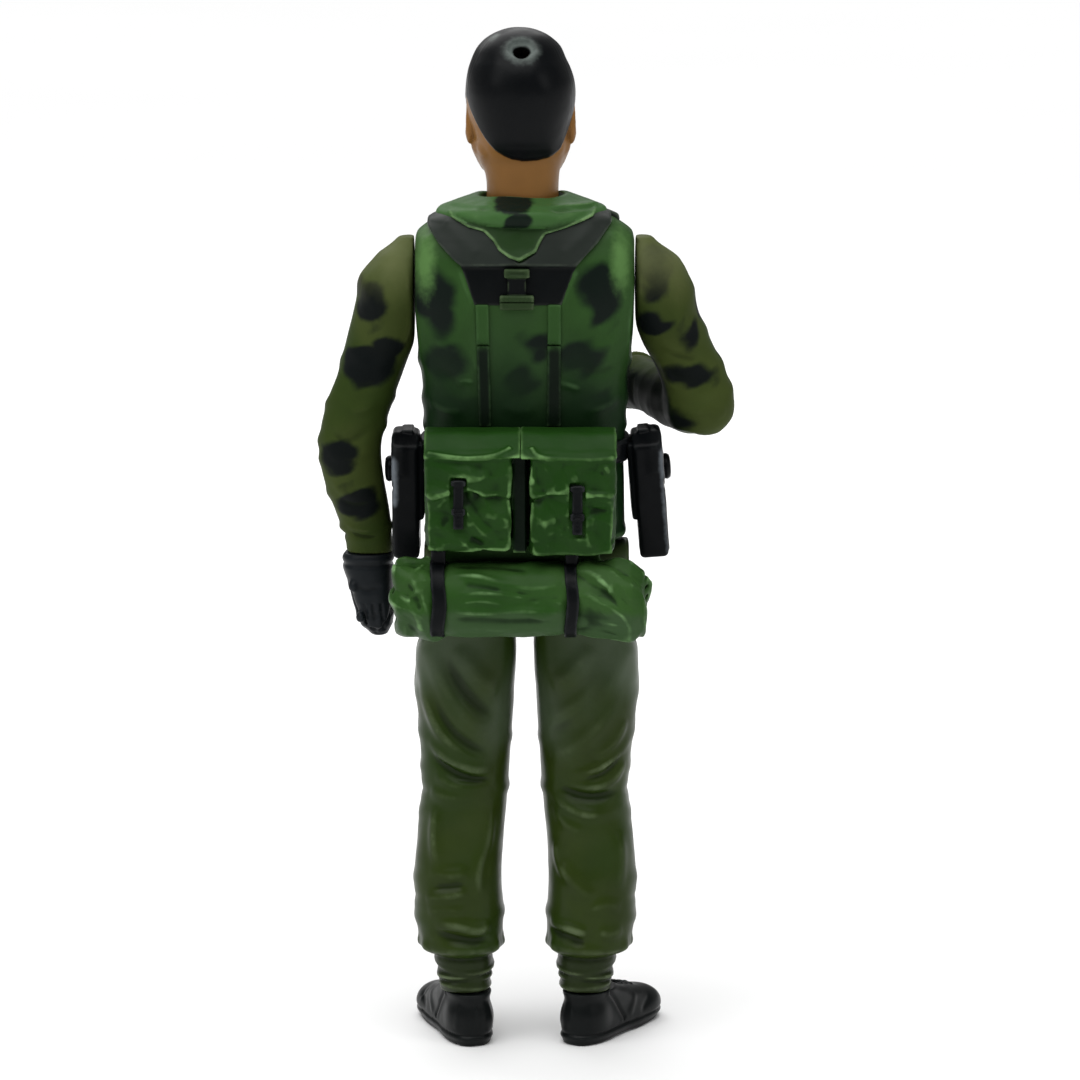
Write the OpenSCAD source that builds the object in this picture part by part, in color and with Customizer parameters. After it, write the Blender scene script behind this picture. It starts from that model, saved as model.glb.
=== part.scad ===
// Five-point articulated action figure, 1:18 class, in a camouflage smock with field kit.
// +Z is up, the figure faces -Y, its left is +X, and the origin is on the ground between the heels.

/* [Joint positions] */
// Height of the hip axle above the ground
hip_z = 43.5; // [43.3:0.1:43.7]
// Height of the shoulder axis above the ground
shoulder_z = 71; // [70.8:0.1:71.2]
// Distance of each flat shoulder face from the centre plane
shoulder_x = 10; // [9.9:0.05:10.05]
// Height of the shoulders' top, where the neck turns
neck_z = 79; // [78.9:0.05:79.1]

// Sideways place of the neck axis
neck_x = 0.2; // [0:0.1:0.3]

/* [Joint fits] */
// Radius of the shoulder peg
shoulder_peg_r = 1.8; // [1.5:0.1:2.2]
// Radius of the flange that keeps each arm in the body
shoulder_flange_r = 3; // [2.6:0.1:3.4]
// Radius of the neck plug
neck_peg_r = 2.2; // [1.8:0.1:2.4]
// Radius of the flange that keeps the head in the body
neck_flange_r = 3.1; // [2.8:0.1:3.3]
// Radius of the hip peg
hip_peg_r = 1.4; // [1.2:0.1:1.6]
// Radius of the flange that keeps each leg in the pelvis
hip_flange_r = 2.4; // [2:0.1:2.5]
// Radial gap of each peg in its hole
fit_gap = 0.05; // [0.03:0.01:0.09]
// Wall of the body shells
wall = 1.4; // [1.2:0.1:1.5]

/* [Accessory holes] */
// Radius of the hole in the back of the head, for a headgear peg
head_hole_r = 0.7; // [0.6:0.05:0.8]
// Depth of the hole in the head
head_hole_l = 3; // [2.5:0.1:3.5]
// Radius of the stand hole in each sole
foot_hole_r = 1.2; // [1:0.05:1.3]
// Depth of the stand hole in each sole
foot_hole_l = 3.6; // [3:0.1:4]
// Radius of the round grip in each fist
grip_r = 1.1; // [1:0.05:1.2]

/* [Kit] */
// Half of the gap between the two back pouches
pouch_gap = 0.7; // [0.5:0.1:1]
// Width of each back pouch
pouch_w = 8; // [7.5:0.1:8.2]
// Distance of the pouches' outer face behind the centre plane
pouch_y = 11.8; // [11:0.1:12.2]
// Radius of the bedroll
roll_r = 3.35; // [3:0.05:3.4]
// Half of the bedroll's length
roll_half = 11.4; // [11:0.1:11.5]

/* [Pose] */
// How far the left foot turns out, in degrees
splay_left = 18; // [14:1:24]
// How far the right foot turns out, in degrees
splay_right = 33; // [26:1:36]

/* [Hidden] */

// The kit on the back sits a little to the left of the centre plane.
mid_x = 0.35;
camo_green = [0.22, 0.36, 0.16];
olive = [0.33, 0.37, 0.2];
field_green = [0.2, 0.4, 0.12];
kit_black = [0.07, 0.08, 0.08];
skin = [0.62, 0.45, 0.27];

// ---- curve and loft helpers ----
// Hermite blend between neighbouring rows of a table, so that few rows give a smooth body.
function row_at(t, i) = t[max(0, min(len(t) - 1, i))];
function cr(a, b, c, d, u) = b + 0.5 * u * (c - a + u * (2 * a - 5 * b + 4 * c - d + u * (3 * (b - c) + d - a)));
function smooth_rows(t, k) = [for (i = [0:len(t) - 2]) for (j = [0:k - 1])
    let (u = j / k) [for (m = [0:len(t[0]) - 1])
      m == 0 ? t[i][0] + (t[i + 1][0] - t[i][0]) * u
             : cr(row_at(t, i - 1)[m], t[i][m], t[i + 1][m], row_at(t, i + 2)[m], u)], t[len(t) - 1]];
function sgn_pow(v, p) = sign(v) * pow(abs(v), p);
// One row of a body table is [z, centre x, half width, front y, back y, squareness].
function body_ring(r, g, n) = [for (i = [0:n - 1]) let (a = 360 * i / n, p = 2 / r[5], cy = (r[3] + r[4]) / 2, ry = (r[4] - r[3]) / 2)
    [r[1] + (r[2] + g) * sgn_pow(cos(a), p), cy + (ry + g) * sgn_pow(sin(a), p), r[0]]];
module skin_rings(rings) {
  n = len(rings[0]);
  m = len(rings);
  pts = [for (r = rings) for (p = r) p];
  side = [for (j = [0:m - 2]) for (i = [0:n - 1]) let (a = j * n + i, b = j * n + (i + 1) % n) each [[a, a + n, b + n], [a, b + n, b]]];
  polyhedron(points = pts, faces = concat([[for (i = [0:n - 1]) i]], [for (f = side) [f[0], f[1], f[2]]],
      [[for (i = [n - 1:-1:0]) (m - 1) * n + i]]), convexity = 6);
}
// The same skin closed on itself, for a roll that goes all the way round.
module skin_loop(rings) {
  n = len(rings[0]);
  m = len(rings);
  pts = [for (r = rings) for (p = r) p];
  side = [for (j = [0:m - 1]) for (i = [0:n - 1]) let (k = (j + 1) % m, a = j * n + i, b = j * n + (i + 1) % n, c = k * n + i, d = k * n + (i + 1) % n) each [[a, d, c], [a, b, d]]];
  polyhedron(points = pts, faces = side, convexity = 6);
}
module body_loft(table, k = 2, g = 0, n = 32) { skin_rings([for (r = smooth_rows(table, k)) body_ring(r, g, n)]); }
// A round tube along points [x, y, z, radius], each ring square to the path.
function unit(v) = v / norm(v);
function tube_ring(t, i, n) = let (d = unit([for (k = [0:2]) row_at(t, i + 1)[k] - row_at(t, i - 1)[k]]),
    u = unit(cross(abs(d[2]) > 0.8 ? [0, 1, 0] : [0, 0, 1], d)), v = cross(d, u), c = [t[i][0], t[i][1], t[i][2]])
    [for (j = [0:n - 1]) c + t[i][3] * (cos(360 * j / n) * u + sin(360 * j / n) * v)];
module tube(t, n = 20) { skin_rings([for (i = [0:len(t) - 1]) tube_ring(t, i, n)]); }
// Joins organic pieces into one skin before true holes and pegs are added.
module moulding() { resize([0, 0, 0]) children(); }
module x_cyl(r, x0, x1, y, z, fn = 64) { translate([min(x0, x1), y, z]) rotate([0, 90, 0]) cylinder(r = r, h = abs(x1 - x0), $fn = fn); }
module block(a, b) { translate(a) cube([b[0] - a[0], b[1] - a[1], b[2] - a[2]]); }

// ---- body shells ----
torso_rows = [[48.4, 0, 9.2, -5.2, 5.4, 3.4], [52, 0, 9.2, -5.3, 5.5, 3.4], [56, 0, 9.1, -5.3, 5.4, 3.4], [59.5, 0, 9.3, -5.5, 5.6, 3.4],
  [63, 0, 9.45, -6.0, 6.1, 3.6], [67, 0, 9.9, -6.6, 6.6, 4], [71, 0, 10.3, -6.9, 7.0, 4.4], [74.5, 0, 10.3, -6.4, 6.6, 4.2],
  [76.3, 0, 10.1, -5.5, 6.0, 3.2], [77.8, 0, 8.3, -4.7, 5.4, 2.6], [neck_z, 0, 6, -4.2, 4.7, 2.2]];
cavity_rows = [[50, 0, 7.7, -3.8, 4.0, 3], [56, 0, 7.6, -3.8, 3.9, 3], [63, 0, 8.0, -4.5, 4.6, 3.2], [67, 0, 8.6, -5.1, 5.1, 3.6],
  [71, 0, 8.6, -5.4, 5.5, 4], [74, 0, 8.0, -4.8, 5.0, 3], [76, 0, 5.4, -3.9, 4.3, 2.4], [77.4, 0, 4.2, -3.5, 3.8, 2]];
module torso_outer(g = 0) {
  intersection() {
    body_loft(torso_rows, 2, g, 44);
    block([-shoulder_x - g, -20, 40], [shoulder_x + g, 20, 90]);
  }
}
module pelvis_disc() {
  x_cyl(4.2, -2, 2, 0, hip_z, 48);
  block([-2, -2.3, hip_z + 3], [2, 2.3, 49]);
}
module torso_half(side) {
  color(camo_green) difference() {
    moulding() intersection() {
      difference() {
        union() { torso_outer(); pelvis_disc(); }
        body_loft(cavity_rows, 2, 0, 28);
      }
      block([-20, side < 0 ? -20 : 0, 30], [20, side < 0 ? 0 : 20, 90]);
    }
    for (s = [-1, 1]) {
      x_cyl(shoulder_peg_r + fit_gap, s * 7, s * 12, 0, shoulder_z);
      x_cyl(shoulder_flange_r + 0.15, s * 7, s * (shoulder_x - wall), 0, shoulder_z);
      x_cyl(hip_peg_r + fit_gap, s * 0.1, s * 3, 0, hip_z);
    }
    x_cyl(hip_flange_r + 0.1, -1.2, 1.2, 0, hip_z);
    translate([neck_x, 0, 76]) cylinder(r = neck_peg_r + fit_gap, h = 6, $fn = 64);
    translate([neck_x, 0, 76]) cylinder(r = neck_flange_r + 0.1, h = 1.3, $fn = 64);
    if (side > 0) weld_pins(0.05);
  }
  if (side < 0) color(camo_green) weld_pins(0);
}
// Four locating pins on the front shell enter sockets in the back shell's wall.
module weld_pins(g) {
  for (s = [-1, 1]) for (z = [54, 63.5])
    translate([s * 8.35, -1.0, z]) rotate([-90, 0, 0]) cylinder(r = 0.35 + g, h = 2 + g, $fn = 24);
}
module torso_front() { torso_half(-1); }
module torso_back() { torso_half(1); }

// Flat pattern on the body: a polygon in X and Z, laid on the shell to a given thickness.
module laid_on(front, t) {
  moulding() intersection() {
    difference() { torso_outer(t); torso_outer(0.02); }
    translate([0, front ? -0.02 : 20, 0]) rotate([90, 0, 0]) linear_extrude(height = 19.98) children();
  }
}
module mirrored2d() { children(); mirror([1, 0]) children(); }
module hood() {
  color(camo_green) moulding() difference() {
    union() {
      skin_loop(hood_rings());
      intersection() {
        torso_outer(0.85);
        translate([0, 20, 0]) rotate([90, 0, 0]) linear_extrude(height = 18) polygon([[mid_x, 74.5], [mid_x + 2.3, 77.2], [mid_x + 2.3, 79], [mid_x - 2.3, 79], [mid_x - 2.3, 77.2]]);
      }
    }
    torso_outer(0.43);
    translate([neck_x, 0, 70]) cylinder(r = 3.7, h = 20, $fn = 48);
  }
}
// The hood is a soft roll that runs once round the neck; a row is [angle, reach x, reach y, height, half width, half height].
hood_rows = [[0, 5.2, 0, 78.75, 1.75, 1.35], [45, 5.2, 4.6, 78.8, 1.9, 1.4], [90, 5.2, 4.9, 78.75, 2.0, 1.45], [135, 5.2, 4.6, 78.8, 1.9, 1.4], [180, 5.2, 0, 78.75, 1.75, 1.35],
  [225, 5.1, 4.6, 78.35, 1.7, 1.3], [270, 5, 4.7, 77.7, 1.6, 1.3], [315, 5.1, 4.6, 78.35, 1.7, 1.3], [360, 5.2, 0, 78.75, 1.75, 1.35]];
function hood_centre(a) = let (r = row_of(a)) [0.3 + r[0] * cos(a), (a > 180 ? 4.9 : 4.7) * sin(a), r[2]];
function row_of(a) = let (i = floor(a / 45), u = a / 45 - i, p = hood_rows[i], q = hood_rows[min(8, i + 1)], w = u * u * (3 - 2 * u))
    [p[1] + (q[1] - p[1]) * w, 0, p[3] + (q[3] - p[3]) * w, p[4] + (q[4] - p[4]) * w, p[5] + (q[5] - p[5]) * w];
function hood_ring(a, n) = let (c = hood_centre(a), r = row_of(a), out = [cos(a), sin(a), 0])
    [for (j = [0:n - 1]) c + r[3] * cos(360 * j / n) * out + [0, 0, r[4] * sin(360 * j / n)]];
function hood_rings() = [for (a = [0:9:351]) hood_ring(a, 14)];

module yoke_panel(t) {
  laid_on(false, t) translate([mid_x, 0]) mirrored2d()
    polygon([[-0.5, 70.75], [4.0, 70.75], [5.4, 74.3], [7.1, 75.9], [8.3, 77.7], [8, 80], [2.45, 80], [2.45, 77], [1.6, 75.8], [0, 74.4], [-0.5, 74.4]]);
}
module harness_yoke() { color(kit_black) yoke_panel(0.4); }
module harness_back_straps() {
  color(kit_black) laid_on(false, 0.4) {
    polygon([[3.1, 59.5], [4.2, 59.5], [4.4, 70.7], [3.2, 70.7]]);
    polygon([[-3.2, 59.5], [-2, 59.5], [-2.1, 70.7], [-3.3, 70.7]]);
  }
}
module harness_buckle() {
  color(olive) difference() {
    union() {
      for (z = [73, 70.2]) block([-0.6, 7.2, z], [2, 8.1, z + 0.9]);
      for (x = [-0.6, 1.6]) block([x, 7.2, 70.2], [x + 0.4, 7.9, 73.9]);
    }
    torso_outer(0.42);
  }
}
module chest_straps(t) {
  laid_on(true, t) mirrored2d() polygon([[4.2, 57.8], [5.8, 57.8], [6.4, 70], [8.7, 77.6], [8.2, 80], [5.6, 80], [4.8, 70]]);
}
module harness_front_straps() { color(kit_black) chest_straps(0.4); }
module waist_belt() {
  color(kit_black) moulding() difference() {
    intersection() { torso_outer(0.45); block([-15, -15, 55.6], [15, 15, 57.7]); }
    torso_outer(0.02);
  }
}
module belt_buckle() {
  color(kit_black) difference() {
    block([-1.7, -6.5, 55.3], [1.7, -5.2, 58.0]);
    torso_outer(0.48);
  }
}

// ---- kit on the back and hips ----
// Rounds every corner of a convex outline [[y, z], ...] given anticlockwise.
function rounded(p, r) = [for (i = [0:len(p) - 1]) let (a = p[(i + len(p) - 1) % len(p)], b = p[i], c = p[(i + 1) % len(p)],
    u = unit2(a - b), v = unit2(c - b), h = acos(u * v) / 2, w = unit2(u + v), m = b + w * r / sin(h), t0 = atan2(-w[1], -w[0]))
    for (k = [-1:0.5:1]) m + r * [cos(t0 + k * (90 - h)), sin(t0 + k * (90 - h))]];
function unit2(v) = v / norm(v);
// A prism along X, from x0 to x1, of an outline in Y and Z.
module side_prism(x0, x1, outline) { translate([x0, 0, 0]) rotate([90, 0, 90]) linear_extrude(height = x1 - x0) polygon(outline); }
module back_pouch(s) {
  color(field_green) side_prism(mid_x + (s < 0 ? -pouch_gap - pouch_w : pouch_gap), mid_x + (s < 0 ? -pouch_gap : pouch_gap + pouch_w),
    rounded([[5.93, 48.4], [pouch_y, 48.4], [pouch_y, 57.1], [8.8, 59.4], [5.93, 59.4]], 0.5));
}
module back_pouch_left() { back_pouch(1); }
module back_pouch_right() { back_pouch(-1); }
module pouch_straps() {
  color(kit_black) {
    block([5.4, pouch_y + 0.03, 50.9], [6.5, pouch_y + 0.4, 55.4]);
    block([-5.3, pouch_y + 0.03, 50.3], [-4.3, pouch_y + 0.4, 55]);
  }
}
roll_y = 9;
roll_z = 43.85;
module bedroll() {
  color(field_green) translate([0.4 - roll_half, roll_y, roll_z]) rotate([0, 90, 0]) rotate_extrude($fn = 72)
    polygon(concat([[0, 0.5], [1.6, 0.3]], [for (a = [0:15:90]) [roll_r - 1.1 + 1.1 * sin(a), 1.1 - 1.1 * cos(a)]],
      [for (a = [90:-15:0]) [roll_r - 1.1 + 1.1 * sin(a), 2 * roll_half - 1.1 + 1.1 * cos(a)]], [[1.6, 2 * roll_half - 0.3], [0, 2 * roll_half - 0.5]]));
}
module roll_strap(x, w) {
  difference() {
    union() {
      x_cyl(roll_r + 0.35, x - w / 2, x + w / 2, roll_y, roll_z, 72);
      block([x - w / 2, 8, roll_z], [x + w / 2, 9, 48.35]);
    }
    x_cyl(roll_r + 0.03, x - w, x + w, roll_y, roll_z, 72);
  }
}
module bedroll_straps() { color(kit_black) { roll_strap(7.8, 1.7); roll_strap(-4.4, 1.3); } }
module holster(s, tilt, outer) {
  color(kit_black) translate([s * 9.72, 0, 58.1]) rotate([0, -s * tilt, 0]) {
    mirror([s < 0 ? 1 : 0, 0, 0]) {
      side_prism(0, outer, rounded([[-3.0, -11.6], [3.0, -11.6], [3.4, -1.5], [2.6, 0], [-2.6, 0], [-3.4, -1.5]], 0.5));
      translate([outer - 0.4, -0.4, -3.7]) rotate([0, 90, 0]) cylinder(r = 1.25, h = 1.15, $fn = 40);
    }
  }
}
module holster_left() { holster(1, 0, 2.4); }
module holster_right() { holster(-1, 4.6, 2.65); }
module front_pouch(s) {
  color(field_green) side_prism(s < 0 ? -7.2 : 2.6, s < 0 ? -2.6 : 7.2, rounded([[-8.4, 51.2], [-5.85, 51.2], [-5.85, 57.9], [-7.9, 57.9], [-8.4, 56.9]], 0.4));
}
module front_pouch_left() { front_pouch(1); }
module front_pouch_right() { front_pouch(-1); }

// ---- head ----
skull_rows = [[80.7, 0.3, 1.3, -5.4, -3.5, 2], [81.5, 0.3, 2.5, -5.9, -1.6, 2.1], [82.8, 0.3, 3.5, -6.1, 1.6, 2.2], [84.4, 0.35, 4.15, -6.2, 4.3, 2.2],
  [86.4, 0.4, 4.6, -6.2, 5.4, 2.2], [88.4, 0.4, 4.9, -6.1, 5.9, 2.2], [90.2, 0.4, 4.8, -5.9, 5.9, 2.2], [91.8, 0.5, 4.35, -5.3, 5.4, 2.1],
  [93.4, 0.6, 3.45, -4.0, 4.2, 2], [94.5, 0.65, 1.9, -2.3, 2.5, 2], [95, 0.7, 0.5, -0.6, 0.7, 2]];
neck_rows = [[79.1, neck_x, 3.3, -3.3, 3.3, 2], [81, neck_x, 3.3, -3.2, 3.3, 2], [82.8, 0.25, 3.5, -3.2, 3.5, 2], [84.5, 0.3, 3.7, -3.2, 3.8, 2]];
module head() {
  difference() {
    union() {
      moulding() {
        color(skin) union() {
          body_loft(neck_rows, 2, 0, 32);
          body_loft(skull_rows, 2, 0, 32);
          for (s = [-1, 1]) translate([0.4 + s * 4.7, 0.3, 86.4]) rotate([12, 0, 0]) scale([0.4, 1.05, 2]) sphere(r = 1, $fn = 24);
        }
      }
      color(skin) translate([neck_x, 0, 77.2]) cylinder(r = neck_peg_r, h = 3, $fn = 64);
      color(skin) translate([neck_x, 0, 76.2]) cylinder(r = neck_flange_r, h = 1.05, $fn = 64);
    }
    color(kit_black) translate([0.3, 3.9, 93.1]) rotate([-33, 0, 0]) {
      translate([0, 0, -head_hole_l]) cylinder(r = head_hole_r, h = head_hole_l + 3, $fn = 40);
      cylinder(r = 1.15, h = 3, $fn = 40);
    }
  }
}

// ---- arms ----
arm_left_rows = [[46.2, 14.5, 2.2, -5.4, -0.9, 2.3], [47.5, 14.65, 2.2, -5.0, -0.4, 2.3], [50, 15.1, 2.5, -4.4, 0.6, 2.2], [53, 15.8, 2.75, -3.6, 1.9, 2.2],
  [56, 16.15, 2.85, -2.9, 2.9, 2.2], [58, 15.95, 2.95, -2.7, 3.2, 2.2], [61, 15.15, 3.0, -2.9, 3.2, 2.2], [64, 14.05, 3.0, -3.4, 3.4, 2.3],
  [67, 13.1, 3.2, -4.2, 4.2, 2.4], [70, 12.4, 3.15, -4.9, 4.9, 2.4], [72.5, 12.0, 3.05, -4.7, 4.7, 2.3], [74.5, 11.3, 2.2, -3.6, 3.6, 2.2], [76.1, 10.6, 1.0, -1.4, 1.4, 2]];
arm_right_rows = [[58.2, -15.9, 2.2, -2.2, 1.9, 2.1], [59.5, -16.1, 3.0, -2.8, 2.6, 2.1], [61.5, -16.0, 3.2, -2.9, 2.8, 2.1], [64, -15.2, 3.15, -3.2, 3.1, 2.2],
  [66.5, -13.9, 3.2, -3.9, 3.9, 2.3], [69, -12.9, 3.1, -4.7, 4.7, 2.4], [71.5, -12.3, 3.1, -4.9, 4.9, 2.4], [74, -11.6, 2.6, -4.0, 4.0, 2.2], [76.1, -10.7, 1.0, -1.4, 1.4, 2]];
forearm_pts = [[-17.1, 1.6, 60.3, 1.6], [-16.6, 0.6, 60.3, 2.6], [-15.4, -1.6, 60.4, 2.9], [-14.2, -3.8, 60.5, 2.8], [-12.9, -6.2, 60.7, 2.55], [-11.7, -8.4, 60.9, 2.3], [-10.9, -9.9, 61, 2.2]];
module shoulder_pin(s) {
  x_cyl(shoulder_peg_r, s * (shoulder_x - wall - 0.5), s * 12, 0, shoulder_z);
  x_cyl(shoulder_flange_r, s * (shoulder_x - wall - 1.05), s * (shoulder_x - wall - 0.05), 0, shoulder_z);
}
module arm_left() {
  color(olive) union() {
    moulding() intersection() { body_loft(arm_left_rows, 2, 0, 24); block([shoulder_x + 0.15, -20, 40], [30, 20, 90]); }
    shoulder_pin(1);
  }
}
module arm_right() {
  color(olive) union() {
    moulding() intersection() {
      union() { body_loft(arm_right_rows, 2, 0, 24); tube(forearm_pts, 20); }
      block([-30, -20, 40], [-shoulder_x - 0.15, 20, 90]);
    }
    shoulder_pin(-1);
  }
}
hand_left_rows = [[38.2, 13.7, 0.8, -4.6, -2.4, 2.2], [39.2, 13.95, 1.5, -5.8, -1.5, 2.4], [41.2, 14.2, 1.95, -6.5, -1.0, 2.6], [43.2, 14.45, 2.15, -6.4, -0.9, 2.6], [44.9, 14.7, 2.4, -5.9, -0.8, 2.5], [46.15, 14.6, 2.25, -5.5, -0.8, 2.4]];
module hand_left() {
  color(kit_black) difference() {
    body_loft(hand_left_rows, 2, 0, 24);
    translate([14.15, -3.75, 41.1]) rotate([70, 0, 0]) {
      cylinder(r = grip_r, h = 12, center = true, $fn = 48);
      translate([-6, -0.45, -6]) cube([6, 0.9, 12]);
    }
  }
}
// The fist's own axis runs along the forearm; it is built pointing along +Z and then laid along the arm.
fist_rows = [[0, 0, 2.25, -2.3, 2.3, 2.4], [1.4, 0.05, 2.35, -2.6, 2.6, 2.5], [3.4, 0.1, 2.3, -2.7, 2.7, 2.6], [5.2, 0, 2.0, -2.5, 2.5, 2.5], [6.4, -0.2, 1.1, -1.6, 1.6, 2.2]];
module along_forearm() { translate([-10.88, -9.94, 61.0]) rotate([0, 0, -61.9]) rotate([0, 86.6, 0]) children(); }
module hand_right() {
  color(kit_black) difference() {
    along_forearm() translate([0, 0, 0.03]) rotate([0, 0, 90]) body_loft(fist_rows, 2, 0, 24);
    along_forearm() translate([0, 0.2, 3.3]) rotate([0, 90, 0]) {
      cylinder(r = grip_r, h = 14, center = true, $fn = 48);
      translate([-0.4, 0, -7]) cube([0.8, 6, 14]);
    }
  }
}

// ---- legs ----
leg_rows = [[5, 5.7, 2.4, -2.0, 3.4, 2.2], [7.4, 5.7, 2.6, -2.2, 3.6, 2.2], [8.3, 5.85, 2.9, -2.5, 3.8, 2.3], [9.4, 6.0, 3.75, -3.5, 4.5, 2.4], [12, 6.2, 4.15, -4.1, 4.8, 2.4],
  [16, 6.3, 4.1, -4.0, 4.7, 2.4], [20, 6.05, 4.05, -4.0, 4.4, 2.3], [24.5, 5.65, 4.05, -4.3, 4.0, 2.3], [29, 5.55, 4.25, -4.5, 4.2, 2.4], [34, 5.6, 4.6, -4.8, 4.5, 2.6], [37.4, 5.5, 4.7, -4.8, 4.6, 2.8], [39.5, 5.2, 4.4, -4.7, 4.6, 3], [hip_z, 5.1, 4.3, -4.5, 4.5, 3]];
function widened(t, d) = [for (r = t) r[0] > 28 ? [r[0], r[1] + d / 2, r[2] + d / 2, r[3], r[4], r[5]] : r];
module leg(s, hip_out, d) {
  color(olive) mirror([s < 0 ? 1 : 0, 0, 0]) union() {
    moulding() difference() {
      union() {
        intersection() {
          body_loft(widened(leg_rows, d), 2, 0, 28);
          block([0.75, -10, 0], [20, 10, hip_z]);
        }
        x_cyl(4.5, 2.15, hip_out, 0, hip_z, 56);
      }
      x_cyl(4.6, -1, 2.15, 0, hip_z, 52);
    }
    x_cyl(hip_peg_r, 0.6, 4, 0, hip_z);
    x_cyl(hip_flange_r, 0.3, 1.15, 0, hip_z);
  }
}
module leg_left() { leg(1, 9.4, 0); }
module leg_right() { leg(-1, 9.7, 0.3); }
// A foot is built with its heel towards +Y and then turned out; a row is [z, 0, half width, toe y, heel y, squareness].
boot_rows = [[0, 0, 2.35, -10.2, 3.3, 2.8], [0.9, 0, 2.5, -10.5, 3.5, 2.8], [2, 0, 2.45, -10.3, 3.3, 2.6], [3.1, 0, 2.25, -8.6, 3.2, 2.4], [4.1, 0, 2.15, -5.4, 3.2, 2.3], [4.97, 0, 2.2, -2.6, 3.3, 2.2]];
module boot(s, splay) {
  color(kit_black) translate([s < 0 ? -6.2 : 5.6, 0.5, 0]) rotate([0, 0, s * splay]) difference() {
    body_loft(boot_rows, 3, 0, 28);
    translate([0, 0.6, -1]) cylinder(r = foot_hole_r, h = foot_hole_l + 1, $fn = 48);
  }
}
module boot_left() { boot(1, splay_left); }
module boot_right() { boot(-1, splay_right); }

torso_front();
torso_back();
hood();
harness_yoke();
harness_back_straps();
harness_buckle();
harness_front_straps();
waist_belt();
belt_buckle();
back_pouch_left();
back_pouch_right();
pouch_straps();
bedroll();
bedroll_straps();
holster_left();
holster_right();
front_pouch_left();
front_pouch_right();
head();
arm_left();
hand_left();
arm_right();
hand_right();
leg_left();
boot_left();
leg_right();
boot_right();
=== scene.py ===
"""Looks of a five-point articulated action figure: sculpted plastic surfaces, painted patches, straps and kit.

Every surface is modelled as a signed distance field in millimetres, in the CAD's own frame, and meshed at a fine pitch.
"""

import math

import bpy
import numpy as np
import openvdb
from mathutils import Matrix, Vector


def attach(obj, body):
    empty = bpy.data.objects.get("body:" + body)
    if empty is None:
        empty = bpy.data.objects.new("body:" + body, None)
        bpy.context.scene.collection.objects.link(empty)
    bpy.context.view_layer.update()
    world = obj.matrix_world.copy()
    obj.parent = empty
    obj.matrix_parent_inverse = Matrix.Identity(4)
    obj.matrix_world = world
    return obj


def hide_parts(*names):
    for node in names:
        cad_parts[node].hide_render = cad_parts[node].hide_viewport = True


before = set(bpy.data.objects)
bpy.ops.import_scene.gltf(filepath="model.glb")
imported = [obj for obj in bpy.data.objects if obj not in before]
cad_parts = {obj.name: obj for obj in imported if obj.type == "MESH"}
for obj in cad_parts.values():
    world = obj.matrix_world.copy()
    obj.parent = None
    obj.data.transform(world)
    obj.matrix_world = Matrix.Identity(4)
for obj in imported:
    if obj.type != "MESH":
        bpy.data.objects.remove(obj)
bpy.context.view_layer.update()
COARSE = 1.0
F = np.float32


# ---------------------------------------------------------------- fields
def smin(a, b, k):
    if k <= 0:
        return np.minimum(a, b)
    h = np.clip(0.5 + 0.5 * (b - a) / k, 0, 1)
    return b * (1 - h) + a * h - k * h * (1 - h)


def smax(a, b, k):
    return -smin(-a, -b, k)


def step(lo, hi, v):
    t = np.clip((v - lo) / (hi - lo), 0, 1)
    return t * t * (3 - 2 * t)


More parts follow.
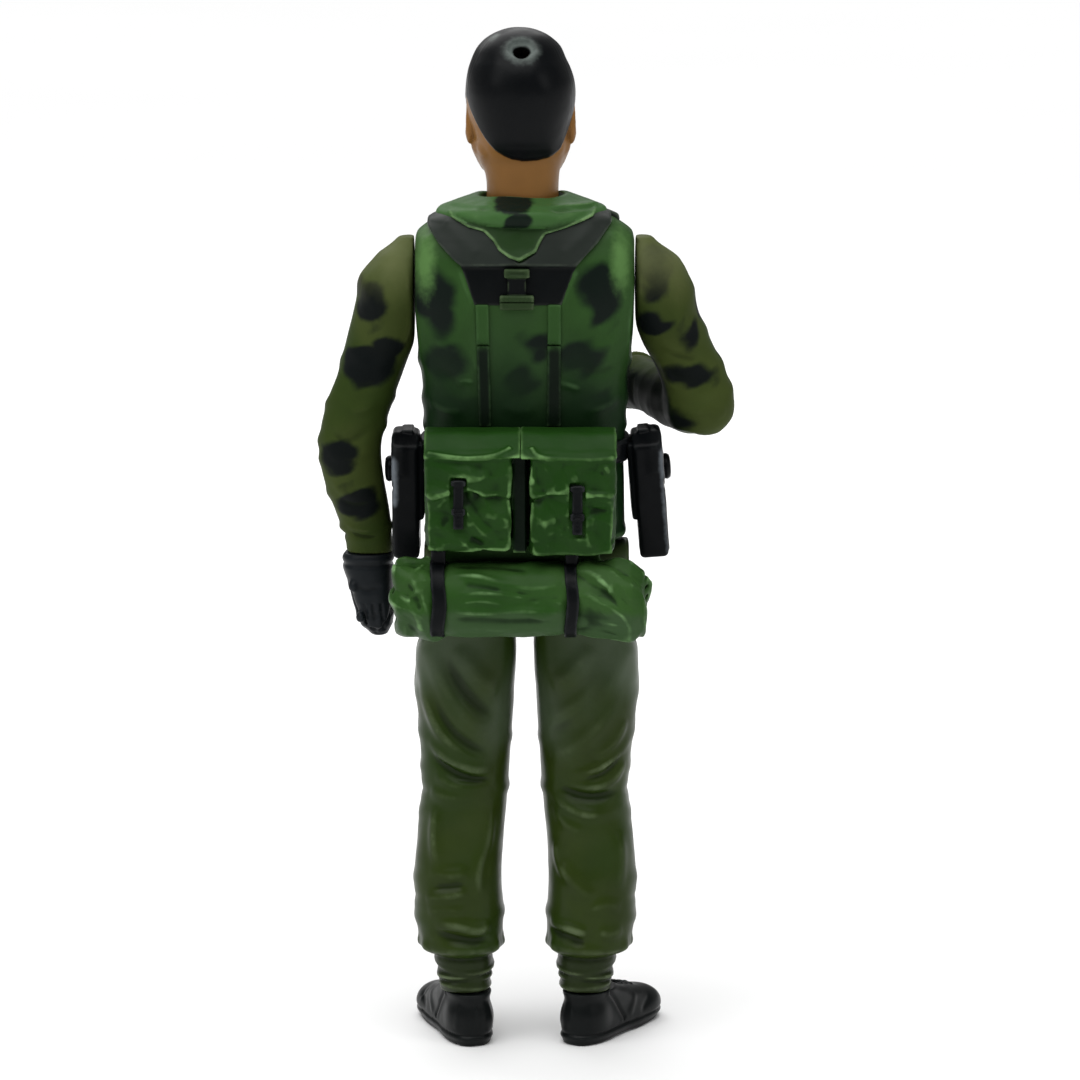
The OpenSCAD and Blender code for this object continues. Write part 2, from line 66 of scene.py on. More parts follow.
class Vol:
    """A block of space on a regular grid that holds signed distances in millimetres."""

    def __init__(self, lo, hi, h):
        self.h = float(h) * COARSE
        self.lo = np.array(lo, float)
        self.n = [int(math.ceil((hi[i] - lo[i]) / self.h)) + 1 for i in range(3)]
        ax = [(self.lo[i] + self.h * np.arange(self.n[i])).astype(F) for i in range(3)]
        self.x, self.y, self.z = ax[0][:, None, None], ax[1][None, :, None], ax[2][None, None, :]
        self.d = np.full(self.n, 6.0, F)

    def sub(self, lo, hi):
        s = []
        for i in range(3):
            a = max(0, int((lo[i] - self.lo[i]) / self.h))
            b = min(self.n[i], int((hi[i] - self.lo[i]) / self.h) + 2)
            s.append(slice(a, max(b, a)))
        return tuple(s), self.x[s[0]], self.y[:, s[1]], self.z[:, :, s[2]]

    def empty(self, s):
        return any(q.stop <= q.start for q in s)

    def add(self, f, k=0.0, box=None):
        s, x, y, z = self.sub(*box) if box else (np.s_[:, :, :], self.x, self.y, self.z)
        if box and self.empty(s):
            return
        self.d[s] = smin(self.d[s], f(x, y, z), k)

    def cut(self, f, k=0.0, box=None):
        s, x, y, z = self.sub(*box) if box else (np.s_[:, :, :], self.x, self.y, self.z)
        if box and self.empty(s):
            return
        self.d[s] = smax(self.d[s], -f(x, y, z), k)

    def sample(self, A, P):
        q = (P - self.lo) / self.h
        q = np.clip(q, 0, np.array(self.n) - 1.001)
        i = q.astype(int)
        t = q - i
        out = 0
        for a in (0, 1):
            for b in (0, 1):
                for c in (0, 1):
                    w = (t[:, 0] if a else 1 - t[:, 0]) * (t[:, 1] if b else 1 - t[:, 1]) * (t[:, 2] if c else 1 - t[:, 2])
                    out = out + w * A[i[:, 0] + a, i[:, 1] + b, i[:, 2] + c]
        return out

    def snap(self, pts, way):
        """Puts (x, z) points, or (y, z) points where way is +x or -x, on the surface seen along that way."""
        out = []
        for p in pts:
            if way in ("+y", "-y"):
                ix = int(round((p[0] - self.lo[0]) / self.h))
                iz = int(round((p[1] - self.lo[2]) / self.h))
                ix, iz = min(max(ix, 0), self.n[0] - 1), min(max(iz, 0), self.n[2] - 1)
                col = self.d[ix, :, iz]
                idx = np.where(col < 0)[0]
                if len(idx) == 0:
                    idx = [int(np.argmin(col))]
                j = idx[-1] if way == "+y" else idx[0]
                out.append((p[0], self.lo[1] + self.h * j, p[1]))
            else:
                iy = int(round((p[0] - self.lo[1]) / self.h))
                iz = int(round((p[1] - self.lo[2]) / self.h))
                iy, iz = min(max(iy, 0), self.n[1] - 1), min(max(iz, 0), self.n[2] - 1)
                col = self.d[:, iy, iz]
                idx = np.where(col < 0)[0]
                if len(idx) == 0:
                    idx = [int(np.argmin(col))]
                j = idx[-1] if way == "+x" else idx[0]
                out.append((self.lo[0] + self.h * j, p[0], p[1]))
        return out

    def fold(self, pts, way="+y", w=0.8, amp=0.3, taper=0.35, both=True):
        """A soft ridge (or a valley where amp is negative) along a line laid on the surface."""
        P = curve(self.snap(pts, way) if way else pts, 6)
        acc_lo, acc_hi = P.min(0) - 2.6 * w, P.max(0) + 2.6 * w
        s, x, y, z = self.sub(acc_lo, acc_hi)
        if self.empty(s):
            return
        best = np.full(self.d[s].shape, 1e3, F)
        bt = np.zeros_like(best)
        n = len(P) - 1
        for i in range(n):
            a, b = P[i], P[i + 1]
            e = b - a
            L2 = float(e @ e) + 1e-9
            t = np.clip(((x - a[0]) * e[0] + (y - a[1]) * e[1] + (z - a[2]) * e[2]) / L2, 0, 1)
            q = (x - a[0] - t * e[0]) ** 2 + (y - a[1] - t * e[1]) ** 2 + (z - a[2] - t * e[2]) ** 2
            m = q < best
            best = np.where(m, q, best)
            bt = np.where(m, (i + t) / n, bt)
        end = np.minimum(bt, 1 - bt) if both else 1 - bt
        fade = step(0, taper, end) if taper > 0 else 1
        self.d[s] -= (amp * np.exp(-best / (w * w)) * fade).astype(F)

    def noise(self, cell, seed, octaves=2):
        """Smooth noise in -1..1 on the grid, features about cell millimetres wide."""
        out = np.zeros(self.n, F)
        amp, tot = 1.0, 0.0
        rng = np.random.default_rng(seed)
        for _ in range(octaves):
            m = [int((self.n[i] * self.h) / cell) + 4 for i in range(3)]
            A = rng.uniform(-1, 1, m).astype(F)
            off = rng.uniform(0, 1, 3)
            for i in range(3):
                q = off[i] + self.h * np.arange(self.n[i]) / cell
                k = q.astype(int)
                t = (q - k).astype(F)
                t = t * t * (3 - 2 * t)
                sh = [1, 1, 1]
                sh[i] = -1
                t = t.reshape(sh)
                A = np.take(A, k, axis=i) * (1 - t) + np.take(A, k + 1, axis=i) * t
            out += amp * A
            tot += amp
            amp *= 0.5
            cell *= 0.5
        return out / tot


def curve(pts, per):
    P = np.array(pts, float)
    if len(P) < 3:
        return P
    out = []
    for i in range(len(P) - 1):
        a, b, c, d = P[max(i - 1, 0)], P[i], P[i + 1], P[min(i + 2, len(P) - 1)]
        for j in range(per):
            u = j / per
            out.append(b + 0.5 * u * (c - a + u * (2 * a - 5 * b + 4 * c - d + u * (3 * (b - c) + d - a))))
    out.append(P[-1])
    return np.array(out)


def rows_at(rows, z):
    R = np.array(rows, float)
    i = np.clip(np.searchsorted(R[:, 0], z, side="right") - 1, 0, len(R) - 2)
    u = ((z - R[i, 0]) / (R[i + 1, 0] - R[i, 0]))[:, None]
    a, b, c, d = R[np.maximum(i - 1, 0)], R[i], R[i + 1], R[np.minimum(i + 2, len(R) - 1)]
    V = b + 0.5 * u * (c - a + u * (2 * a - 5 * b + 4 * c - d + u * (3 * (b - c) + d - a)))
    return V[:, 1:]


def even(d, h):
    """Turns a smooth field into one that changes by about 1 per millimetre near its surface."""
    g = np.gradient(d, h)
    return (d / np.clip(np.sqrt(g[0] ** 2 + g[1] ** 2 + g[2] ** 2), 0.5, 4)).astype(F)


def loft(v, rows, grow=0.0, kz=0.4, caps=True):
    z0, z1 = rows[0][0], rows[-1][0]
    R = rows_at(rows, np.clip(v.z.ravel(), z0, z1).astype(float)).astype(F)
    cx, a, yf, yb, n = [R[:, i][None, None, :] for i in range(5)]
    cy, b = (yf + yb) / 2, (yb - yf) / 2
    px, py = np.abs(v.x - cx), np.abs(v.y - cy)
    r = ((px / a) ** n + (py / b) ** n) ** (1 / n) + 1e-4
    L = np.sqrt(px**2 + py**2)
    d = np.where(r < 0.08, -np.minimum(a, b) * (1 - r), L * (1 - 1 / r))
    d = even(d, v.h) - F(grow)
    if caps:
        d = smax(d, np.maximum(z0 - v.z, v.z - z1), kz)
    return d


def ell(c, r, rx=0.0, rz=0.0):
    def f(x, y, z):
        x, y, z = x - c[0], y - c[1], z - c[2]
        if rx:
            s, q = math.sin(math.radians(rx)), math.cos(math.radians(rx))
            y, z = q * y + s * z, -s * y + q * z
        if rz:
            s, q = math.sin(math.radians(rz)), math.cos(math.radians(rz))
            x, y = q * x + s * y, -s * x + q * y
        k0 = np.sqrt((x / r[0]) ** 2 + (y / r[1]) ** 2 + (z / r[2]) ** 2) + 1e-6
        k1 = np.sqrt((x / r[0] ** 2) ** 2 + (y / r[1] ** 2) ** 2 + (z / r[2] ** 2) ** 2) + 1e-6
        return k0 * (k0 - 1) / k1

    return f


def caps(pts, rad, per=1):
    """Round cones along a line; rad is one radius or one per point."""
    P = np.array(pts, float)
    R = np.full(len(P), rad, float) if np.isscalar(rad) else np.array(rad, float)
    if per > 1:
        Q = curve(np.hstack([P, R[:, None]]), per)
        P, R = Q[:, :3], Q[:, 3]

    def f(x, y, z):
        best = None
        for i in range(len(P) - 1):
            a, e = P[i], P[i + 1] - P[i]
            L2 = float(e @ e) + 1e-9
            t = np.clip(((x - a[0]) * e[0] + (y - a[1]) * e[1] + (z - a[2]) * e[2]) / L2, 0, 1)
            q = np.sqrt((x - a[0] - t * e[0]) ** 2 + (y - a[1] - t * e[1]) ** 2 + (z - a[2] - t * e[2]) ** 2) - (R[i] + (R[i + 1] - R[i]) * t)
            best = q if best is None else np.minimum(best, q)
        return best

    return f


def bounds_of(pts, pad):
    P = np.array(pts, float)
    return P.min(0) - pad, P.max(0) + pad


def cyl(p, axis, r, half):
    a = np.array(axis, float)
    a /= np.linalg.norm(a)

    def f(x, y, z):
        x, y, z = x - p[0], y - p[1], z - p[2]
        h = x * a[0] + y * a[1] + z * a[2]
        q = np.sqrt(np.maximum(x**2 + y**2 + z**2 - h**2, 0)) - r
        return np.maximum(q, np.abs(h) - half)

    return f


def rbox(c, half, r, tilt_y=0.0):
    def f(x, y, z):
        x, y, z = x - c[0], y - c[1], z - c[2]
        if tilt_y:
            s, q = math.sin(math.radians(tilt_y)), math.cos(math.radians(tilt_y))
            x, z = q * x - s * z, s * x + q * z
        a, b, e = np.abs(x) - half[0] + r, np.abs(y) - half[1] + r, np.abs(z) - half[2] + r
        out = np.sqrt(np.maximum(a, 0) ** 2 + np.maximum(b, 0) ** 2 + np.maximum(e, 0) ** 2)
        return out + np.minimum(np.maximum(a, np.maximum(b, e)), 0) - r

    return f


def poly2(pts):
    """Signed distance to a flat outline, negative inside."""
    P = np.array(pts, float)

    def f(u, v):
        u, v = np.broadcast_arrays(u, v)
        best = np.full(u.shape, 1e6)
        inside = np.zeros(u.shape, bool)
        for i in range(len(P)):
            a, b = P[i], P[(i + 1) % len(P)]
            e = b - a
            t = np.clip(((u - a[0]) * e[0] + (v - a[1]) * e[1]) / float(e @ e), 0, 1)
            best = np.minimum(best, (u - a[0] - t * e[0]) ** 2 + (v - a[1] - t * e[1]) ** 2)
            c = ((a[1] <= v) & (v < b[1])) | ((b[1] <= v) & (v < a[1]))
            xx = a[0] + (v - a[1]) * e[0] / (e[1] if abs(e[1]) > 1e-9 else 1e-9)
            inside ^= c & (u < xx)
        q = np.sqrt(best)
        return np.where(inside, -q, q).astype(F)

    return f


def soften(A, times):
    for _ in range(times):
        for i in range(3):
            B = A.copy()
            s0, s1, s2 = [slice(None)] * 3, [slice(None)] * 3, [slice(None)] * 3
            s0[i], s1[i], s2[i] = slice(1, -1), slice(0, -2), slice(2, None)
            B[tuple(s0)] = 0.5 * A[tuple(s0)] + 0.25 * (A[tuple(s1)] + A[tuple(s2)])
            A = B
    return A


def surface(v, name, body, mats, replaces=(), attrs=None, place=None, keep=None, rest=0):
    """Meshes the field, stores paint and curvature on its points, and lets it ride on a CAD body."""
    h = v.h
    if rest:
        v.d = soften(v.d, rest)
    d = np.clip(v.d, -3 * h, 3 * h).astype(F)
    d[[0, -1]] = d[:, [0, -1]] = d[:, :, [0, -1]] = 3 * h
    grid = openvdb.FloatGrid(3 * h)
    grid.copyFromArray(d)
    pts, quads = grid.convertToQuads(0.0)
    P = pts.astype(float) * h + v.lo
    if len(P) == 0:
        raise RuntimeError(name + " is empty")
    quads = quads.astype(np.int64)
    a, b, c = P[quads[:, 0]], P[quads[:, 1]], P[quads[:, 2]]
    e, f2 = P[quads[:, 2]], P[quads[:, 3]]
    if np.einsum("ij,ij->i", a, np.cross(b, c)).sum() + np.einsum("ij,ij->i", a, np.cross(e, f2)).sum() < 0:
        quads = quads[:, ::-1]
    gx, gy, gz = [q.astype(F) for q in np.gradient(v.d, h)]
    for _ in range(2):
        g = np.stack([v.sample(gx, P), v.sample(gy, P), v.sample(gz, P)], 1)
        m = np.clip((g**2).sum(1), 0.25, None)
        move = -(v.sample(v.d, P) / m)[:, None] * g
        ln = np.linalg.norm(move, axis=1)[:, None]
        P = P + move * np.minimum(1, 0.5 * h / np.maximum(ln, 1e-9))
    N = np.stack([v.sample(gx, P), v.sample(gy, P), v.sample(gz, P)], 1)
    N /= np.linalg.norm(N, axis=1)[:, None] + 1e-9
    wide = max(1, int(round(0.32 / h)))
    near = soften(np.clip(v.d, -1.2, 1.2), 2 * wide)
    curv = np.clip(v.sample(near, P) / 0.14, -1, 1)
    far = soften(near, 10 * wide)
    cave = np.clip(v.sample(far, P) / 0.45, -1, 1)
    A = {"curv": curv, "cave": cave}
    for k, fn in (attrs or {}).items():
        A[k] = fn(P, N)
    flip = False
    Q = P
    if place is not None:
        M, o = place
        Q = P @ np.array(M).T + np.array(o)
        flip = np.linalg.det(np.array(M)) < 0
    if flip:
        quads = quads[:, ::-1]
    me = bpy.data.meshes.new(name)
    me.vertices.add(len(Q))
    me.vertices.foreach_set("co", (Q * 0.001).astype(F).ravel())
    me.loops.add(len(quads) * 4)
    me.loops.foreach_set("vertex_index", quads.astype(np.int32).ravel())
    me.polygons.add(len(quads))
    me.polygons.foreach_set("loop_start", np.arange(0, len(quads) * 4, 4, dtype=np.int32))
    me.polygons.foreach_set("use_smooth", np.ones(len(quads), bool))
    me.update(calc_edges=True)
    me.validate()
    for k, val in A.items():
        at = me.attributes.new(k, "FLOAT", "POINT")
        at.data.foreach_set("value", np.asarray(val, F))
    ob = bpy.data.objects.new(name, me)
    bpy.context.scene.collection.objects.link(ob)
    for m in mats if isinstance(mats, (list, tuple)) else [mats]:
        me.materials.append(m)
    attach(ob, body)
    if replaces:
        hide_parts(*replaces)
    print(f"{name}: {len(quads)} quads")
    return ob


def blobs(items, warp=0.35, seed=3):
    """Painted patches: each is a centre and three radii; the value is positive inside, in millimetres."""
    rng = np.random.default_rng(seed)
    ph = rng.uniform(0, 6.28, (4, 3))
    kk = rng.uniform(0.8, 2.2, (4, 3))

    def f(P, N):
        W = np.zeros((len(P), 3))
        for i in range(3):
            for j in range(4):
                W[:, i] += np.sin(P @ kk[j] * (0.7 + 0.25 * i) + ph[j, i]) / 4
        Q = P + warp * W * 1.6
        out = np.full(len(P), -9.0)
        for c, r in items:
            q = (Q - np.array(c)) / np.array(r)
            k = np.sqrt((q**2).sum(1))
            out = np.maximum(out, (1 - k) * min(r))
        return out

    return f


# ---------------------------------------------------------------- materials
def lin(r, g, b):
    out = []
    for c in (r, g, b):
        c /= 255
        out.append(c / 12.92 if c <= 0.04045 else ((c + 0.055) / 1.055) ** 2.4)
    return tuple(out)


class Mat:
    def __init__(self, name):
        self.m = bpy.data.materials.new(name)
        self.m.use_nodes = True
        self.t = self.m.node_tree
        self.t.nodes.clear()
        self.out = self.t.nodes.new("ShaderNodeOutputMaterial")
        self.bsdf = self.t.nodes.new("ShaderNodeBsdfPrincipled")
        self.t.links.new(self.bsdf.outputs[0], self.out.inputs[0])
        self.tc = self.t.nodes.new("ShaderNodeTexCoord")

    def link(self, a, b):
        self.t.links.new(a, b)

    def attr(self, name):
        n = self.t.nodes.new("ShaderNodeAttribute")
        n.attribute_name = name
        return n.outputs["Fac"]

    def noise(self, scale, detail=3.0, rough=0.55, stretch=None, w=None):
        n = self.t.nodes.new("ShaderNodeTexNoise")
        n.inputs["Scale"].default_value = scale
        n.inputs["Detail"].default_value = detail
        n.inputs["Roughness"].default_value = rough
        src = self.tc.outputs["Object"]
        if stretch:
            mp = self.t.nodes.new("ShaderNodeMapping")
            mp.inputs["Scale"].default_value = stretch
            self.link(src, mp.inputs[0])
            src = mp.outputs[0]
        self.link(src, n.inputs["Vector"])
        return n.outputs["Fac"]

    def rng(self, v, a, b, c=0.0, d=1.0, smooth=True):
        n = self.t.nodes.new("ShaderNodeMapRange")
        n.interpolation_type = "SMOOTHSTEP" if smooth else "LINEAR"
        for i, q in ((1, a), (2, b), (3, c), (4, d)):
            n.inputs[i].default_value = q
        self.link(v, n.inputs[0])
        return n.outputs[0]

    def math(self, op, a, b=None):
        n = self.t.nodes.new("ShaderNodeMath")
        n.operation = op
        for i, q in enumerate((a, b)):
            if q is None:
                continue
            if isinstance(q, (int, float)):
                n.inputs[i].default_value = q
            else:
                self.link(q, n.inputs[i])
        return n.outputs[0]

    def mix(self, fac, a, b):
        n = self.t.nodes.new("ShaderNodeMix")
        n.data_type = "RGBA"
        if isinstance(fac, (int, float)):
            n.inputs[0].default_value = fac
        else:
            self.link(fac, n.inputs[0])
        for i, q in ((6, a), (7, b)):
            if isinstance(q, tuple):
                n.inputs[i].default_value = (*q[:3], 1)
            else:
                self.link(q, n.inputs[i])
        return n.outputs[2]

    def finish(self, colour, rough, bump=None, spec=0.5, coat=0.0, coat_rough=0.2, sss=0.0):
        self.link(colour, self.bsdf.inputs["Base Color"])
        if isinstance(rough, (int, float)):
            self.bsdf.inputs["Roughness"].default_value = rough
        else:
            self.link(rough, self.bsdf.inputs["Roughness"])
        self.bsdf.inputs["Specular IOR Level"].default_value = spec
        if coat:
            self.bsdf.inputs["Coat Weight"].default_value = coat
            self.bsdf.inputs["Coat Roughness"].default_value = coat_rough
        if bump:
            n = self.t.nodes.new("ShaderNodeBump")
            n.inputs["Strength"].default_value = bump[1]
            n.inputs["Distance"].default_value = bump[2]
            self.link(bump[0], n.inputs["Height"])
            self.link(n.outputs[0], self.bsdf.inputs["Normal"])
        return self.m


def plastic(name, base, shade_colour=None, rub_highlight_colour=None, rough=(0.38, 0.52), cavity_shade=0.55, edge=0.35, camo=None, patches=(), spec=0.08, coat=0.0, grain=0.000009, tint=None, blur=0.16):
    """Moulded and painted plastic: uneven colour, painted shade in hollows and creases, edges lightened as rubbed wear
    and painted highlight, painted areas and a fine grain.
    """
    M = Mat(name)
    shade_colour = shade_colour or tuple(c * 0.55 for c in base)
    rub_highlight_colour = rub_highlight_colour or tuple(min(1, c * 1.7 + 0.012) for c in base)
    big = M.rng(M.noise(160, 3), 0.3, 0.7)
    col = M.mix(big, tuple(c * 0.9 for c in base), tuple(c * 1.1 for c in base))
    if tint:
        col = M.mix(M.rng(M.noise(90, 2), 0.42, 0.62, 0.0, tint[1]), col, tint[0])
    if camo:
        edge_n = M.math("MULTIPLY", M.math("SUBTRACT", M.noise(900, 2), 0.5), 0.5)
        m = M.rng(M.math("ADD", M.attr("camo"), edge_n), -blur, blur, 0.0, 0.95)
        col = M.mix(m, col, camo)
    for attr_name, colour, soft in patches:
        edge_n = M.math("MULTIPLY", M.math("SUBTRACT", M.noise(1400, 2), 0.5), min(soft, 0.45) * 1.3)
        m = M.rng(M.math("ADD", M.attr(attr_name), edge_n), -soft, soft)
        col = M.mix(m, col, colour)
    # Painted shade: darker in wide hollows and in tight creases.
    hollow_shade = M.rng(M.attr("cave"), -0.55, 0.05, cavity_shade, 0.0)
    col = M.mix(hollow_shade, col, shade_colour)
    crease_shade = M.rng(M.attr("curv"), -0.6, -0.08, cavity_shade * 0.8, 0.0)
    col = M.mix(crease_shade, col, shade_colour)
    # Lighter convex edges, broken by noise: rubbed wear and painted highlight together.
    rub_and_highlight = M.math("MULTIPLY", M.rng(M.attr("curv"), 0.22, 0.8), M.rng(M.noise(700, 4), 0.35, 0.65, 0.35, 1.0))
    col = M.mix(M.math("MULTIPLY", rub_and_highlight, edge), col, rub_highlight_colour)
    r = M.rng(M.noise(420, 4), 0.3, 0.7, rough[0], rough[1])
    return M.finish(col, r, (M.noise(5200, 3), 0.35, grain), spec, coat)


GREEN = lin(41, 70, 30)
CAMO_DARK = lin(9, 15, 16)
OLIVE_ARM = lin(57, 67, 31)
OLIVE = lin(41, 54, 16)
KIT = lin(24, 56, 13)
BLACK = lin(8, 10, 12)
GREY = lin(36, 41, 37)
SKIN = lin(132, 93, 49)
HAIR = lin(7, 9, 11)

# On the smock, the low patch is painted shade: darker green towards the bottom of the torso.
m_smock = plastic("smock_plastic", GREEN, blur=0.55, shade_colour=lin(12, 26, 10), rub_highlight_colour=lin(92, 130, 82), camo=CAMO_DARK, tint=(lin(46, 72, 38), 0.6), edge=0.4, patches=(("low", lin(15, 36, 15), 2.4), ("lit", lin(82, 118, 64), 0.55), ("olive", OLIVE, 0.12)))
# The hood's vee patch is painted shade: darker green in the V below the rolled collar, where its shadow falls.
m_hood = plastic("hood_plastic", lin(58, 92, 48), lin(22, 44, 16), lin(132, 166, 112), camo=CAMO_DARK, edge=0.6, patches=(("vee", lin(33, 55, 26), 0.3),))
# The sleeves' top patch is a painted highlight, paler where top light falls on the shoulders; shade is painted shade on
# the right forearm.
m_sleeve = plastic("sleeve_plastic", OLIVE_ARM, lin(26, 34, 13), lin(112, 118, 78), camo=lin(10, 13, 18), tint=(lin(40, 56, 20), 0.75), edge=0.35, blur=0.34, rough=(0.46, 0.6), spec=0.04, patches=(("top", lin(92, 98, 62), 2.6), ("shade", lin(12, 22, 14), 0.5)))
m_trouser = plastic("trouser_plastic", OLIVE, lin(18, 27, 10), lin(98, 112, 80), tint=(lin(34, 52, 14), 0.8), edge=0.7, cavity_shade=0.5, rough=(0.28, 0.4), spec=0.11, patches=(("sheen", lin(66, 78, 58), 2.6), ("gaiter", lin(36, 46, 22), 0.15)))
m_kit = plastic("kit_plastic", KIT, lin(9, 26, 7), lin(112, 152, 92), tint=(lin(32, 61, 21), 0.7), edge=0.75, cavity_shade=0.75, patches=(("gap", lin(7, 22, 10), 0.3),))
m_roll = plastic("bedroll_plastic", lin(36, 68, 24), lin(10, 28, 8), lin(120, 158, 104), tint=(lin(54, 84, 40), 0.7), edge=0.85, cavity_shade=0.75, patches=(("pale", lin(52, 76, 44), 0.4),))
m_black = plastic("black_plastic", BLACK, lin(3, 4, 4), lin(64, 68, 68), edge=0.35, rough=(0.28, 0.42), spec=0.08, patches=(("glint", lin(104, 110, 116), 0.35),))
m_boot = plastic("boot_plastic", lin(13, 16, 16), lin(4, 5, 5), lin(54, 58, 58), edge=0.25, rough=(0.3, 0.42), spec=0.12)
m_glove = plastic("glove_plastic", lin(20, 24, 27), lin(6, 7, 8), lin(64, 70, 74), edge=0.3, rough=(0.34, 0.48), spec=0.12)
m_strap = plastic("strap_plastic", GREY, lin(14, 17, 15), lin(92, 104, 88), edge=0.45, spec=0.09, patches=(("black", lin(5, 8, 9), 0.1),))
m_vstrap = plastic("back_strap_plastic", lin(8, 20, 10), lin(4, 9, 5), lin(64, 94, 56), edge=0.55, patches=(("green", lin(42, 72, 32), 0.8),))
m_buckle = plastic("buckle_plastic", lin(36, 52, 28), lin(12, 20, 10), lin(92, 108, 78), edge=0.5, patches=(("black", lin(6, 9, 10), 0.1),))
m_head = plastic("head_plastic", SKIN, lin(52, 34, 20), lin(120, 110, 96), rough=(0.3, 0.42), cavity_shade=0.35, edge=0.03, spec=0.1,
                 patches=(("lips", lin(142, 84, 62), 0.08), ("white", lin(205, 203, 196), 0.03), ("iris", lin(62, 46, 32), 0.03), ("pupil", lin(10, 9, 9), 0.02), ("brow", lin(30, 24, 20), 0.08), ("hair", HAIR, 0.07), ("crown_wear_and_highlight", lin(96, 104, 100), 0.5), ("bore_shade", lin(5, 6, 6), 0.12)))



# ---------------------------------------------------------------- shared shapes
MID = 0.35
dull = lambda P, N: np.full(len(P), -1.0)
torso_rows = [[48.4, 0, 9.2, -5.2, 5.4, 3.4], [52, 0, 9.2, -5.3, 5.5, 3.4], [56, 0, 9.1, -5.3, 5.4, 3.4], [59.5, 0, 9.3, -5.5, 5.6, 3.4],
              [63, 0, 9.45, -6.0, 6.1, 3.6], [67, 0, 9.9, -6.6, 6.6, 4], [71, 0, 10.3, -6.9, 7.0, 4.4], [74.5, 0, 10.3, -6.4, 6.6, 4.2],
              [76.3, 0, 10.1, -5.5, 6.0, 3.2], [77.8, 0, 8.3, -4.7, 5.4, 2.6], [79, 0, 6, -4.2, 4.7, 2.2]]


def torso_field(v):
    return smax(loft(v, torso_rows, 0, 0.6), np.abs(v.x) - 10, 0.35)


def outline(v, pts):
    return poly2(pts)(v.x, v.z)[:, :1, :] + np.zeros_like(v.y)


# ---------------------------------------------------------------- torso
v = Vol((-10.8, -8.4, 38.8), (10.8, 8.4, 79.9), 0.2)
T = torso_field(v)
v.d = T.copy()
v.add(cyl((0, 0, 43.5), (1, 0, 0), 4.3, 2.06), 0.3)
v.add(rbox((0, 0, 47.4), (1.95, 2.25, 2), 0.3), 0.5)
# raised edges beside the yoke, vest seams and drape on the back
for p in ([(6.0, 74.0), (5.35, 72.2), (4.75, 70.5), (4.5, 67), (4.4, 64)], [(-4.9, 74.0), (-4.1, 72.2), (-3.5, 70.5), (-3.4, 67), (-3.5, 64)]):
    v.fold(p, "+y", 0.3, 0.2, 0.12)
for p, w, a in (([(6.4, 63.3), (5.4, 63.6), (4.3, 63.5)], 0.35, 0.2), ([(-2.4, 63.6), (-3.8, 63.3), (-5.4, 62.7)], 0.4, 0.25),
                ([(9.3, 74.6), (8.5, 76.2), (7.2, 77.3)], 0.7, 0.22), ([(-9.3, 74.6), (-8.3, 76.2), (-7.2, 77.3)], 0.7, 0.22),
                ([(9.6, 73.5), (9.5, 69), (9.2, 64)], 0.5, 0.2), ([(-9.6, 73.5), (-9.5, 69), (-9.2, 64)], 0.5, 0.2),
                ([(8.8, 68.2), (7.0, 66.6), (5.2, 66.2)], 0.8, 0.2), ([(-8.6, 67.8), (-7.0, 66.4), (-4.4, 66.6)], 0.8, 0.2),
                ([(8.8, 61.8), (7.2, 60.8), (5.2, 60.9)], 0.6, 0.28), ([(-8.8, 62.4), (-7.4, 61.2), (-5.0, 60.6)], 0.6, 0.28),
                ([(2.2, 61.6), (0.5, 60.8), (-1.2, 61.3)], 0.6, 0.2), ([(8.6, 64.8), (6.8, 64.0), (5.0, 62.0)], 0.7, -0.2),
                ([(-8.7, 65.0), (-7.0, 64.4), (-4.6, 64.6)], 0.6, -0.2), ([(2.4, 69.4), (0.4, 69.8), (-1.6, 69.3)], 0.5, 0.14)):
    v.fold(p, "+y", w, a)
# front: placket, pockets, drape
fr = v.y < 0
for q in ([(-0.95, 59), (0.95, 59), (0.95, 77), (-0.95, 77)], [(1.35, 66.2), (4.0, 66.2), (4.15, 71.2), (1.35, 71.2)], [(-1.35, 66.2), (-4.0, 66.2), (-4.15, 71.2), (-1.35, 71.2)]):
    P2 = outline(v, q) - 0.02
    v.d = np.where(fr, smin(v.d, smax(T - 0.2, P2, 0.14), 0.05), v.d)
for s in (1, -1):
    q = [(s * 1.3, 69.7), (s * 2.7, 69.25), (s * 4.2, 69.7), (s * 4.25, 71.3), (s * 1.3, 71.3)]
    v.d = np.where(fr, smin(v.d, smax(T - 0.34, outline(v, q), 0.14), 0.05), v.d)
    v.add(ell((s * 2.7, -7.1, 69.9), (0.27, 0.2, 0.27)), 0.05)
for z in (60.4, 62.9, 65.4, 67.9, 70.4, 72.9):
    yy = v.snap([(0, z)], "-y")[0][1]
    v.add(ell((0, yy, z), (0.3, 0.17, 0.3)), 0.04)
for p, w, a in (([(8.9, 73), (7.6, 70.5), (7.2, 67)], 0.7, 0.25), ([(-8.9, 73), (-7.6, 70.5), (-7.2, 67)], 0.7, 0.25), ([(8.8, 62), (6.8, 61), (2.4, 61.6)], 0.6, 0.25),
                ([(-8.8, 62.4), (-6.8, 61.4), (-2.4, 61.2)], 0.6, 0.25), ([(8.6, 64.6), (7.4, 64.2), (6.2, 64.9)], 0.5, 0.2), ([(-8.6, 65.2), (-7.4, 64.4), (-6.2, 64.9)], 0.5, 0.2),
                ([(7.9, 54.4), (8.2, 51.6), (7.9, 49)], 0.6, 0.25), ([(-7.9, 54.4), (-8.2, 51.6), (-7.9, 49)], 0.6, 0.25), ([(1.9, 54.6), (1.4, 51.8), (1.7, 49)], 0.5, 0.22),
                ([(-1.9, 54.6), (-1.4, 51.8), (-1.7, 49)], 0.5, 0.22), ([(0, 55), (0.1, 52), (0, 48.6)], 0.22, -0.2)):
    v.fold(p, "-y", w, a)
